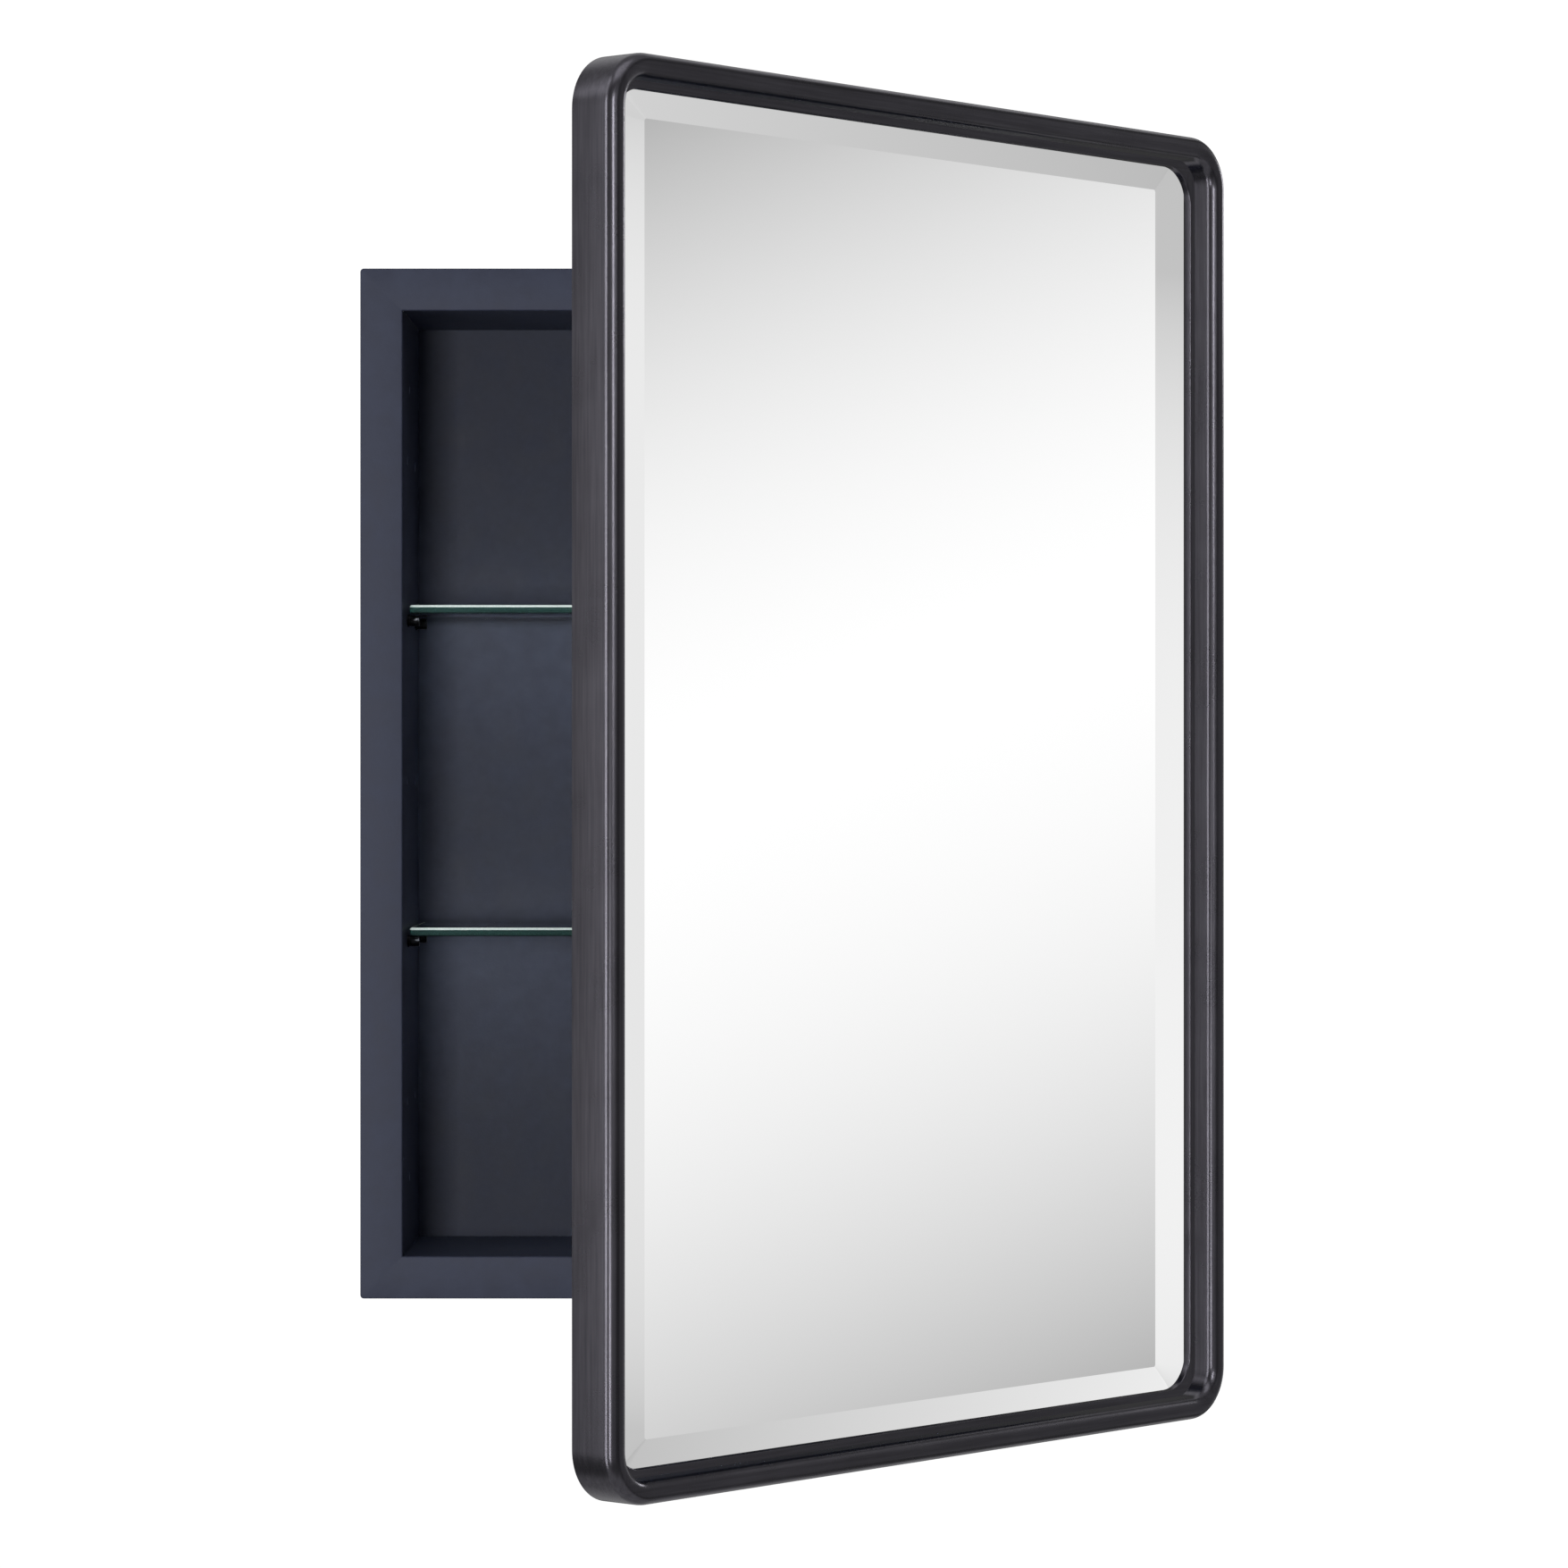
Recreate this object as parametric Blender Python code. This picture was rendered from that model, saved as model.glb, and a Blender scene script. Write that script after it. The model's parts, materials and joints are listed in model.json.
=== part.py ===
"""Recessed medicine cabinet with a framed, bevelled mirror door.

Metres, +Z up.  The cabinet looks along -Y, so the door is on the -Y side and the
back panel's rear face lies in the plane y = 0, centred on x = 0 and z = 0.
The door hangs on a vertical axis at the right and stands part open at rest.
"""
import math

import bpy
import bmesh
from mathutils import Matrix, Vector

# Clearances
GAP = 0.0003                 # between neighbouring solids that only touch
PIN_CLEARANCE = 0.00008      # radial, hinge pin in its knuckles

# Steel tub and trim
OPENING_WIDTH = 0.372
OPENING_HEIGHT = 0.531
TUB_DEPTH = 0.120            # rear face to the plane of the wall
SHEET = 0.0012
TRIM_STRIP = 0.0237          # visible width of the trim
TRIM_DEPTH = 0.012           # how far the trim stands off the wall
TRIM_FOOT = 0.009            # flat foot that lies on the wall
TRIM_CORNER = 0.0020
TRIM_EDGE = 0.0008           # rounding of the trim's front edges
TRIM_INNER_CORNER = 0.0003
MOUNT_HOLE_RADIUS = 0.0025
MOUNT_HOLE_FROM_END = 0.0405  # from the opening's top and bottom
MOUNT_HOLE_INSET = 0.045     # behind the plane of the wall

# Shelves and their pins
SHELF_THICKNESS = 0.0048
SHELF_SIDE_GAP = 0.003
SHELF_BACK_GAP = 0.003
SHELF_FRONT_SETBACK = 0.0130  # behind the front of the trim
SHELF_EDGE = 0.0006
PIN_ROW_MIDDLE = 0.0015
PIN_ROW_PITCH = 0.091
PIN_ROWS = (-2, -1, 0, 1, 2)
SHELF_ROWS = {"upper": 1, "lower": -1}
PIN_COLUMN_INSET = 0.026     # from the shelf's front and back edges
PIN_RADIUS = 0.0024          # where it passes through the wall
PIN_SLEEVE_RADIUS = 0.0031   # over the clear sleeve that the glass rests on
PIN_REACH = 0.0065           # inside the wall
PIN_TAIL = 0.0035            # outside the wall
PIN_COLLAR_RADIUS = 0.0036
PIN_COLLAR_THICKNESS = 0.0010

# Door
DOOR_WIDTH = 0.508
DOOR_HEIGHT = 0.7112
DOOR_RISE = 0.003            # door's middle above the cabinet's middle
FRAME_CORNER = 0.028
BEAD_RADIUS = 0.006          # half-round front bead
BEAD_HEIGHT = 0.022          # from the door's back to the middle of the bead
TIER_HEIGHT = 0.014          # from the door's back to the inner step
TIER_INSET = 0.016           # inner step's edge from the outer edge
TIER_CORNER = 0.020
TIER_EDGE = 0.0008
TIER_LIP = 0.0042            # thickness of the lip that holds the mirror
REBATE_SETBACK = 0.0002      # rebate wall outside the bead's crease
BEAD_STEPS = 10
TIER_EDGE_STEPS = 3

# Mirror and what holds it
GLASS_THICKNESS = 0.005
GLASS_EDGE = 0.0022          # thickness left at the bevel's outer edge
BEVEL_SIDE = 0.027           # visible bevel at the sides
BEVEL_END = 0.0135           # visible bevel at the top and bottom
BEVEL_CORNER = 0.0015
BACKING_THICKNESS = 0.0039
GASKET_WIDTH = 0.0030
GASKET_THICKNESS = 0.0018

# Hinges
HINGE_AXIS_INSET = 0.005     # axis from the door's hinge edge
HINGE_FROM_END = 0.0623      # each hinge's middle from the opening's end
HINGE_LENGTH = 0.064
KNUCKLES = 5
KNUCKLE_RADIUS = 0.0030
HINGE_PIN_RADIUS = 0.0015
LEAF_THICKNESS = 0.0013
DOOR_LEAF_WIDTH = 0.034
LEAF_HOLD = 0.0180           # how much of the cabinet leaf lies on the trim
REST_ANGLE = 49.4            # degrees open
LEAF_SCREW_SPREAD = 0.040
DOOR_SCREW_SHARE = 0.62      # of the door leaf's width, from the knuckles to the screws
PIN_HEAD_SHARE = 0.9         # of the knuckle's radius
PIN_CROWN_SHARE = 0.7        # of the head's radius
PIN_HEAD_THICKNESS = 0.0006
PIN_CROWN_HEIGHT = 0.0006

# Screws
SCREW_RADIUS = 0.0015
SCREW_HEAD_RADIUS = 0.0029
SCREW_HEAD_DEPTH = 0.0012
SCREW_TIP_SHARE = 0.3        # tip's radius over the shank's
CABINET_SCREW_LENGTH = 0.0070
DOOR_SCREW_LENGTH = 0.0045

# Clips on the door's back
CLIP_LENGTH = 0.017
CLIP_WIDTH = 0.012
CLIP_THICKNESS = 0.0010
CLIP_INSET = 0.003           # outer end from the door's outer edge
CLIP_SCREW_INSET = 0.0070
CLIP_SCREW_LENGTH = 0.0090
CLIP_SCREW_HEAD = 0.0010
CLIP_HEAD_CROWN = 0.6        # flat top's radius and straight side's height, over the head's
END_CLIP_SPREAD = 0.150

# Magnets and bumpers on the door's back
MAGNET_FROM_END = 0.0755     # from the opening's end
MAGNET_RADIUS = 0.0050
MAGNET_THICKNESS = 0.0019
CUP_WALL = 0.0020
CUP_FLOOR = 0.0008
BUMPER_FROM_END = 0.0035     # from the opening's end
BUMPER_RADIUS = 0.0045
BUMPER_PROFILE = ((0.0, 1.0), (0.55, 1.0), (0.85, 0.82), (1.0, 0.5))  # shares of its height and radius

# Facets and sides
CORNER_STEPS = 8
ROUND_SIDES = 24
SMALL_SIDES = 16
SCREW_SIDES = 12
SIDES = {"left": -1, "right": 1}
ENDS = {"upper": 1, "lower": -1}

# Worked out from the values above
MOUNT_HOLE_HEIGHT = OPENING_HEIGHT / 2 - MOUNT_HOLE_FROM_END
HINGE_HEIGHT = OPENING_HEIGHT / 2 - HINGE_FROM_END
MAGNET_HEIGHT = OPENING_HEIGHT / 2 - MAGNET_FROM_END
BUMPER_HEIGHT = OPENING_HEIGHT / 2 - BUMPER_FROM_END
TRIM_FRONT = -(TUB_DEPTH + TRIM_DEPTH)
TRIM_MIDDLE_X = OPENING_WIDTH / 2 + TRIM_STRIP / 2
CABINET_LEAF_BACK = TRIM_FRONT - GAP
CABINET_LEAF_FRONT = CABINET_LEAF_BACK - LEAF_THICKNESS
HINGE_Y = CABINET_LEAF_BACK
DOOR_LEAF_BACK_LOCAL = -(LEAF_THICKNESS + GAP)
DOOR_LEAF_FRONT_LOCAL = DOOR_LEAF_BACK_LOCAL - LEAF_THICKNESS
DOOR_BACK_LOCAL = -(KNUCKLE_RADIUS + GAP)
HINGE_X = DOOR_WIDTH / 2 - HINGE_AXIS_INSET
CLOSED_GAP = TRIM_FRONT - (HINGE_Y + DOOR_BACK_LOCAL)
REBATE_INSET = 2 * BEAD_RADIUS + REBATE_SETBACK
GLASS_INSET = REBATE_INSET + GAP
GLASS_CORNER = FRAME_CORNER - 2 * BEAD_RADIUS
GLASS_BACK = GAP + BACKING_THICKNESS + GAP
GLASS_FRONT = GLASS_BACK + GLASS_THICKNESS
LIP_BACK = TIER_HEIGHT - TIER_LIP
KNUCKLE_LENGTH = HINGE_LENGTH / KNUCKLES


# Materials -------------------------------------------------------------------

def make_material(name, color, roughness, metallic=0.0, alpha=1.0):
    material = bpy.data.materials.new(name)
    material.use_nodes = True
    shader = material.node_tree.nodes["Principled BSDF"]
    shader.inputs["Base Color"].default_value = (*color, 1.0)
    shader.inputs["Roughness"].default_value = roughness
    shader.inputs["Metallic"].default_value = metallic
    shader.inputs["Alpha"].default_value = alpha
    material.diffuse_color = (*color, alpha)
    return material


def make_materials():
    return {
        "powder_coat": make_material("powder_coat", (0.055, 0.067, 0.085), 0.55, 0.2),
        "bronze": make_material("bronze", (0.060, 0.055, 0.056), 0.35, 0.9),
        "mirror": make_material("mirror", (0.90, 0.92, 0.92), 0.02, 1.0),
        "shelf_glass": make_material("shelf_glass", (0.75, 0.88, 0.84), 0.03, 0.0, 0.35),
        "zinc_steel": make_material("zinc_steel", (0.55, 0.55, 0.56), 0.35, 1.0),
        "black_steel": make_material("black_steel", (0.045, 0.045, 0.050), 0.45, 0.8),
        "backing_board": make_material("backing_board", (0.030, 0.030, 0.032), 0.75),
        "black_rubber": make_material("black_rubber", (0.020, 0.020, 0.020), 0.85),
        "magnet": make_material("magnet", (0.10, 0.10, 0.11), 0.50, 0.5),
    }


# Mesh helpers ----------------------------------------------------------------

def add_object(name, bm, material, parent=None, location=(0.0, 0.0, 0.0), smooth_angle=30.0):
    """Turn a bmesh into a named object with outward faces."""
    bmesh.ops.recalc_face_normals(bm, faces=bm.faces)
    mesh = bpy.data.meshes.new(name)
    bm.to_mesh(mesh)
    bm.free()
    mesh.materials.append(material)
    mesh.shade_smooth()
    mesh.set_sharp_from_angle(angle=math.radians(smooth_angle))
    item = bpy.data.objects.new(name, mesh)
    bpy.context.scene.collection.objects.link(item)
    item.location = location
    item.parent = parent
    return item


def add_box(bm, low, high):
    """Add a closed box between two corners."""
    middle = (Vector(low) + Vector(high)) / 2
    size = Vector(high) - Vector(low)
    matrix = Matrix.Translation(middle) @ Matrix.Diagonal((*size, 1.0))
    return bmesh.ops.create_cube(bm, size=1.0, matrix=matrix)["verts"]


def add_turned(bm, base, direction, profile, sides=SMALL_SIDES):
    """Add a closed turned body: profile is (distance along direction, radius) pairs."""
    turn = Vector((0, 0, 1)).rotation_difference(Vector(direction)).to_matrix()
    rings = []
    for along, radius in profile:
        ring = []
        for i in range(sides):
            angle = 2 * math.pi * i / sides
            point = Vector((radius * math.cos(angle), radius * math.sin(angle), along))
            ring.append(bm.verts.new(Vector(base) + turn @ point))
        rings.append(ring)
    join_rings(bm, rings)
    bm.faces.new(rings[0][::-1])
    bm.faces.new(rings[-1])


def add_cylinder(bm, base, direction, radius, length, sides=SMALL_SIDES):
    add_turned(bm, base, direction, ((0.0, radius), (length, radius)), sides)


def join_rings(bm, rings, closed=False):
    """Skin between loops of the same number of points."""
    pairs = list(zip(rings, rings[1:]))
    if closed:
        pairs.append((rings[-1], rings[0]))
    for first, second in pairs:
        for i in range(len(first)):
            j = (i + 1) % len(first)
            bm.faces.new((first[i], first[j], second[j], second[i]))


def rounded_loop(bm, width, height, radius, y, steps=CORNER_STEPS):
    """Add the points of an upright rounded rectangle, centred on x = z = 0."""
    loop = []
    for corner in range(4):
        sign_x = (1, -1, -1, 1)[corner]
        sign_z = (1, 1, -1, -1)[corner]
        centre = Vector((sign_x * (width / 2 - radius), y, sign_z * (height / 2 - radius)))
        for step in range(steps + 1):
            angle = math.pi / 2 * (corner + step / steps)
            offset = Vector((math.cos(angle), 0.0, math.sin(angle))) * radius
            loop.append(bm.verts.new(centre + offset))
    return loop


def rounded_plate(bm, width, height, radius, back, front):
    """Add a closed upright plate between two depths."""
    loops = [rounded_loop(bm, width, height, radius, y) for y in (back, front)]
    join_rings(bm, loops)
    bm.faces.new(loops[0])
    bm.faces.new(loops[1][::-1])


def add_cutter(name, bm, parent=None, location=(0.0, 0.0, 0.0)):
    """A hidden body that a Boolean reads."""
    bmesh.ops.recalc_face_normals(bm, faces=bm.faces)
    mesh = bpy.data.meshes.new(name)
    bm.to_mesh(mesh)
    bm.free()
    cutter = bpy.data.objects.new(name, mesh)
    bpy.context.scene.collection.objects.link(cutter)
    cutter.location = location
    cutter.parent = parent
    cutter.hide_render = True
    cutter.display_type = "WIRE"
    return cutter


def add_boolean(item, cutter, operation="DIFFERENCE"):
    modifier = item.modifiers.new(operation.lower(), "BOOLEAN")
    modifier.operation = operation
    modifier.object = cutter
    modifier.solver = "EXACT"


# Cabinet ---------------------------------------------------------------------

def pin_row_height(row):
    return PIN_ROW_MIDDLE + row * PIN_ROW_PITCH


def pin_columns():
    front = TRIM_FRONT + SHELF_FRONT_SETBACK + PIN_COLUMN_INSET
    back = -(SHEET + SHELF_BACK_GAP + PIN_COLUMN_INSET)
    return front, back


def make_back_panel(materials):
    bm = bmesh.new()
    half_width = OPENING_WIDTH / 2 + SHEET
    half_height = OPENING_HEIGHT / 2 + SHEET
    add_box(bm, (-half_width, -SHEET, -half_height), (half_width, 0.0, half_height))
    add_object("back_panel", bm, materials["powder_coat"])


def make_side_walls(materials):
    """Left and right walls, full height, with shelf-pin and mounting holes."""
    half_height = OPENING_HEIGHT / 2 + SHEET
    for name, side in (("left_wall", -1), ("right_wall", 1)):
        inner = side * OPENING_WIDTH / 2
        outer = side * (OPENING_WIDTH / 2 + SHEET)
        bm = bmesh.new()
        low = (min(inner, outer), TRIM_FRONT + SHEET + GAP, -half_height)
        high = (max(inner, outer), -SHEET - GAP, half_height)
        add_box(bm, low, high)
        wall = add_object(name, bm, materials["powder_coat"])
        bm = bmesh.new()
        start = inner - side * SHEET
        for row in PIN_ROWS:
            for y in pin_columns():
                add_cylinder(bm, (start, y, pin_row_height(row)), (side, 0, 0), PIN_RADIUS + GAP, 3 * SHEET)
        for z in (-MOUNT_HOLE_HEIGHT, MOUNT_HOLE_HEIGHT):
            y = -TUB_DEPTH + MOUNT_HOLE_INSET
            add_cylinder(bm, (start, y, z), (side, 0, 0), MOUNT_HOLE_RADIUS, 3 * SHEET)
        add_boolean(wall, add_cutter(name + "_holes", bm))


def make_end_walls(materials):
    """Top and bottom walls, between the side walls."""
    half_width = OPENING_WIDTH / 2 - GAP
    for name, side in (("top_wall", 1), ("bottom_wall", -1)):
        inner = side * OPENING_HEIGHT / 2
        outer = side * (OPENING_HEIGHT / 2 + SHEET)
        bm = bmesh.new()
        low = (-half_width, TRIM_FRONT + SHEET + GAP, min(inner, outer))
        high = (half_width, -SHEET - GAP, max(inner, outer))
        add_box(bm, low, high)
        add_object(name, bm, materials["powder_coat"])


def trim_section():
    """The trim's section, as (outset from the opening, depth behind its front)."""
    section = [(0.0, SHEET), (0.0, TRIM_EDGE)]
    section += [(TRIM_EDGE * (1 - math.sin(a)), TRIM_EDGE * (1 - math.cos(a)))
                for a in (math.pi / 4, 0.0)]
    section += [(TRIM_STRIP - TRIM_EDGE * (1 - math.sin(a)), TRIM_EDGE * (1 - math.cos(a)))
                for a in (0.0, math.pi / 4, math.pi / 2)]
    section += [(TRIM_STRIP, TRIM_DEPTH)]
    section += [(TRIM_STRIP - TRIM_FOOT, TRIM_DEPTH), (TRIM_STRIP - TRIM_FOOT, TRIM_DEPTH - SHEET)]
    section += [(TRIM_STRIP - SHEET, TRIM_DEPTH - SHEET), (TRIM_STRIP - SHEET, SHEET)]
    return section


def make_face_trim(materials):
    """Folded trim: front strip, outer lip and a foot that lies on the wall."""
    bm = bmesh.new()
    loops = []
    for outset, depth in trim_section():
        radius = TRIM_INNER_CORNER + TRIM_CORNER * outset / TRIM_STRIP
        width = OPENING_WIDTH + 2 * outset
        height = OPENING_HEIGHT + 2 * outset
        loops.append(rounded_loop(bm, width, height, radius, TRIM_FRONT + depth, 3))
    join_rings(bm, loops, closed=True)
    trim = add_object("face_trim", bm, materials["powder_coat"])
    bm = bmesh.new()
    for x, z in cabinet_screw_places():
        add_cylinder(bm, (x, TRIM_FRONT - SHEET, z), (0, 1, 0), SCREW_RADIUS + GAP, 3 * SHEET)
    add_boolean(trim, add_cutter("trim_screw_holes", bm))


def shelf_bottom(row):
    return pin_row_height(row) + PIN_SLEEVE_RADIUS + GAP


def make_shelves(materials):
    """Glass shelves with arrised edges, each on four sleeved pins."""
    half_width = OPENING_WIDTH / 2 - SHELF_SIDE_GAP
    for label, row in SHELF_ROWS.items():
        bm = bmesh.new()
        low = (-half_width, TRIM_FRONT + SHELF_FRONT_SETBACK, shelf_bottom(row))
        high = (half_width, -SHEET - SHELF_BACK_GAP, shelf_bottom(row) + SHELF_THICKNESS)
        add_box(bm, low, high)
        bmesh.ops.bevel(bm, geom=bm.edges[:], offset=SHELF_EDGE, segments=1, affect="EDGES")
        add_object("glass_shelf_" + label, bm, materials["shelf_glass"])


def make_shelf_pins(materials):
    """Four pins under each shelf, pushed through the side walls."""
    collar = OPENING_WIDTH / 2 - GAP
    tail = OPENING_WIDTH / 2 + SHEET + PIN_TAIL
    to_collar = tail - collar
    past_collar = to_collar + PIN_COLLAR_THICKNESS
    profile = ((0.0, PIN_RADIUS), (to_collar, PIN_RADIUS), (to_collar, PIN_COLLAR_RADIUS),
               (past_collar, PIN_COLLAR_RADIUS), (past_collar, PIN_SLEEVE_RADIUS),
               (to_collar + PIN_REACH, PIN_SLEEVE_RADIUS))
    for label, row in SHELF_ROWS.items():
        for hand, side in SIDES.items():
            for place, y in zip(("front", "rear"), pin_columns()):
                bm = bmesh.new()
                add_turned(bm, (side * tail, y, pin_row_height(row)), (-side, 0, 0), profile)
                add_object(f"shelf_pin_{label}_{hand}_{place}", bm, materials["black_steel"])


# Hinges ----------------------------------------------------------------------

def screw_heights(hinge_middle):
    return [hinge_middle + offset * LEAF_SCREW_SPREAD / 2 for offset in (1, -1)]


def cabinet_screw_places():
    places = []
    for end in ENDS.values():
        for z in screw_heights(DOOR_RISE + end * HINGE_HEIGHT):
            places.append((TRIM_MIDDLE_X, z))
    return places


def door_screw_x():
    """The door leaf's screw line, from the hinge axis."""
    return -(KNUCKLE_RADIUS + GAP + DOOR_LEAF_WIDTH * DOOR_SCREW_SHARE)


def knuckle_span(index):
    low = -HINGE_LENGTH / 2 + index * KNUCKLE_LENGTH + GAP / 2
    return low, low + KNUCKLE_LENGTH - GAP


def add_comb_plate(bm, x_far, x_near, x_tab, back, front, owned):
    """A leaf plate with tabs that reach into its own knuckles."""
    outline = [(x_far, HINGE_LENGTH / 2), (x_far, -HINGE_LENGTH / 2)]
    for index in range(KNUCKLES):
        low, high = knuckle_span(index)
        low = -HINGE_LENGTH / 2 if index == 0 else low
        high = HINGE_LENGTH / 2 if index == KNUCKLES - 1 else high
        if index in owned:
            outline += [(x_near, low), (x_tab, low), (x_tab, high), (x_near, high)]
        elif index == 0:
            outline.append((x_near, low))
        elif index == KNUCKLES - 1:
            outline.append((x_near, high))
    loops = [[bm.verts.new((x, y, z)) for x, z in outline] for y in (back, front)]
    join_rings(bm, loops)
    bm.faces.new(loops[0])
    bm.faces.new(loops[1][::-1])


def add_knuckles(bm, owned):
    for index in owned:
        low, high = knuckle_span(index)
        add_cylinder(bm, (0, 0, low), (0, 0, 1), KNUCKLE_RADIUS, high - low, ROUND_SIDES)


def add_leaf(name, plate, owned, holes, material, parent, location):
    """Join a leaf plate and its knuckles, then bore it."""
    leaf = add_object(name, plate, material, parent, location)
    knuckles = bmesh.new()
    add_knuckles(knuckles, owned)
    add_boolean(leaf, add_cutter(name + "_knuckles", knuckles, parent, location), "UNION")
    bore = HINGE_PIN_RADIUS + PIN_CLEARANCE
    add_cylinder(holes, (0, 0, -HINGE_LENGTH), (0, 0, 1), bore, 2 * HINGE_LENGTH, ROUND_SIDES)
    add_boolean(leaf, add_cutter(name + "_holes", holes, parent, location))


def add_countersunk_hole(bm, face, direction, depth):
    """A screw hole with a conical mouth at face."""
    start = Vector(face) - Vector(direction) * GAP
    slope = (SCREW_HEAD_RADIUS - SCREW_RADIUS) / (SCREW_HEAD_DEPTH - GAP)
    shank = SCREW_RADIUS + GAP
    mouth = shank + slope * (GAP + SCREW_HEAD_DEPTH)
    profile = ((0.0, mouth), (GAP + SCREW_HEAD_DEPTH, shank), (GAP + depth, shank))
    add_turned(bm, start, direction, profile)


def add_countersunk_screw(bm, face, direction, length):
    head_top = (GAP, SCREW_HEAD_RADIUS)
    profile = (head_top, (SCREW_HEAD_DEPTH, SCREW_RADIUS), (length - SCREW_RADIUS, SCREW_RADIUS),
               (length, SCREW_RADIUS * SCREW_TIP_SHARE))
    add_turned(bm, face, direction, profile)


def make_hinge(label, side, materials, door):
    """One butt hinge: cabinet leaf, door leaf and pin."""
    middle = side * HINGE_HEIGHT
    cabinet_middle = DOOR_RISE + middle
    near = -(KNUCKLE_RADIUS + GAP)
    plate = bmesh.new()
    far = OPENING_WIDTH / 2 + TRIM_STRIP - LEAF_HOLD - HINGE_X
    cabinet_knuckles = range(0, KNUCKLES, 2)
    tab = -(HINGE_PIN_RADIUS + KNUCKLE_RADIUS) / 2
    add_comb_plate(plate, far, near, tab, 0.0, -LEAF_THICKNESS, cabinet_knuckles)
    holes = bmesh.new()
    for z in screw_heights(0.0):
        face = (TRIM_MIDDLE_X - HINGE_X, -LEAF_THICKNESS, z)
        add_countersunk_hole(holes, face, (0, 1, 0), 2 * LEAF_THICKNESS)
    add_leaf("hinge_" + label + "_cabinet_leaf", plate, cabinet_knuckles, holes,
             materials["zinc_steel"], None, (HINGE_X, HINGE_Y, cabinet_middle))

    plate = bmesh.new()
    door_knuckles = range(1, KNUCKLES, 2)
    far = near - DOOR_LEAF_WIDTH
    add_comb_plate(plate, far, near, 0.0, DOOR_LEAF_BACK_LOCAL, DOOR_LEAF_FRONT_LOCAL, door_knuckles)
    holes = bmesh.new()
    for z in screw_heights(0.0):
        face = (door_screw_x(), DOOR_LEAF_BACK_LOCAL, z)
        add_countersunk_hole(holes, face, (0, -1, 0), 2 * LEAF_THICKNESS)
    add_leaf("hinge_" + label + "_door_leaf", plate, door_knuckles, holes,
             materials["zinc_steel"], door, (0, 0, middle))

    pin = bmesh.new()
    half = HINGE_LENGTH / 2 + GAP
    head = KNUCKLE_RADIUS * PIN_HEAD_SHARE
    head_end = half + PIN_HEAD_THICKNESS
    crown = (head_end + PIN_CROWN_HEIGHT, head * PIN_CROWN_SHARE)
    upper = ((half, HINGE_PIN_RADIUS), (half, head), (head_end, head), crown)
    profile = tuple((-along, radius) for along, radius in reversed(upper)) + upper
    add_turned(pin, (0, 0, 0), (0, 0, 1), profile, ROUND_SIDES)
    add_object("hinge_" + label + "_pin", pin, materials["zinc_steel"], None, (HINGE_X, HINGE_Y, cabinet_middle))

    for place, z in zip(("top", "bottom"), screw_heights(0.0)):
        screw = bmesh.new()
        face = (TRIM_MIDDLE_X, CABINET_LEAF_FRONT, cabinet_middle + z)
        add_countersunk_screw(screw, face, (0, 1, 0), CABINET_SCREW_LENGTH)
        add_object(f"hinge_{label}_cabinet_screw_{place}", screw, materials["zinc_steel"])
        screw = bmesh.new()
        face = (door_screw_x(), DOOR_LEAF_BACK_LOCAL, middle + z)
        add_countersunk_screw(screw, face, (0, -1, 0), DOOR_SCREW_LENGTH)
        add_object(f"hinge_{label}_door_screw_{place}", screw, materials["zinc_steel"], door)


# Door ------------------------------------------------------------------------
# Door pieces are drawn closed, about the door's middle; depth runs to the front.

def door_location():
    return (HINGE_AXIS_INSET - DOOR_WIDTH / 2, DOOR_BACK_LOCAL, 0.0)


def frame_section():
    """The frame's section, as (inset, height from the back, corner radius)."""
    section = [(0.0, 0.0, FRAME_CORNER)]
    for i in range(BEAD_STEPS + 1):
        angle = math.pi * i / BEAD_STEPS
        inset = BEAD_RADIUS * (1 - math.cos(angle))
        section.append((inset, BEAD_HEIGHT + BEAD_RADIUS * math.sin(angle), FRAME_CORNER - inset))
    crease = 2 * BEAD_RADIUS
    section.append((crease, TIER_HEIGHT, FRAME_CORNER - crease))
    for i in range(TIER_EDGE_STEPS + 1):
        angle = math.pi / 2 * i / TIER_EDGE_STEPS
        inset = TIER_INSET - TIER_EDGE * (1 - math.sin(angle))
        section.append((inset, TIER_HEIGHT - TIER_EDGE * (1 - math.cos(angle)), TIER_CORNER))
    section.append((TIER_INSET, LIP_BACK, TIER_CORNER))
    section.append((REBATE_INSET, LIP_BACK, FRAME_CORNER - crease))
    section.append((REBATE_INSET, 0.0, FRAME_CORNER - crease))
    return section


def clip_places():
    """Each clip's name and screw, as (x, z, direction towards the door's middle)."""
    x = DOOR_WIDTH / 2 - CLIP_SCREW_INSET
    z = DOOR_HEIGHT / 2 - CLIP_SCREW_INSET
    places = {}
    for hand, side in SIDES.items():
        places["top_" + hand] = (side * END_CLIP_SPREAD, z, Vector((0, 0, -1)))
        places["bottom_" + hand] = (side * END_CLIP_SPREAD, -z, Vector((0, 0, 1)))
        places["middle_" + hand] = (side * x, 0.0, Vector((-side, 0, 0)))
    return places


def make_door_frame(materials, door):
    bm = bmesh.new()
    loops = []
    for inset, height, radius in frame_section():
        width = DOOR_WIDTH - 2 * inset
        loops.append(rounded_loop(bm, width, DOOR_HEIGHT - 2 * inset, radius, -height))
    join_rings(bm, loops, closed=True)
    frame = add_object("door_frame", bm, materials["bronze"], door, door_location())
    bm = bmesh.new()
    for x, z, _ in clip_places().values():
        depth = CLIP_SCREW_LENGTH + SHEET
        add_cylinder(bm, (x, SHEET, z), (0, -1, 0), SCREW_RADIUS + GAP, depth, SCREW_SIDES)
    add_boolean(frame, add_cutter("frame_screw_holes", bm, door, door_location()))


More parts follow.
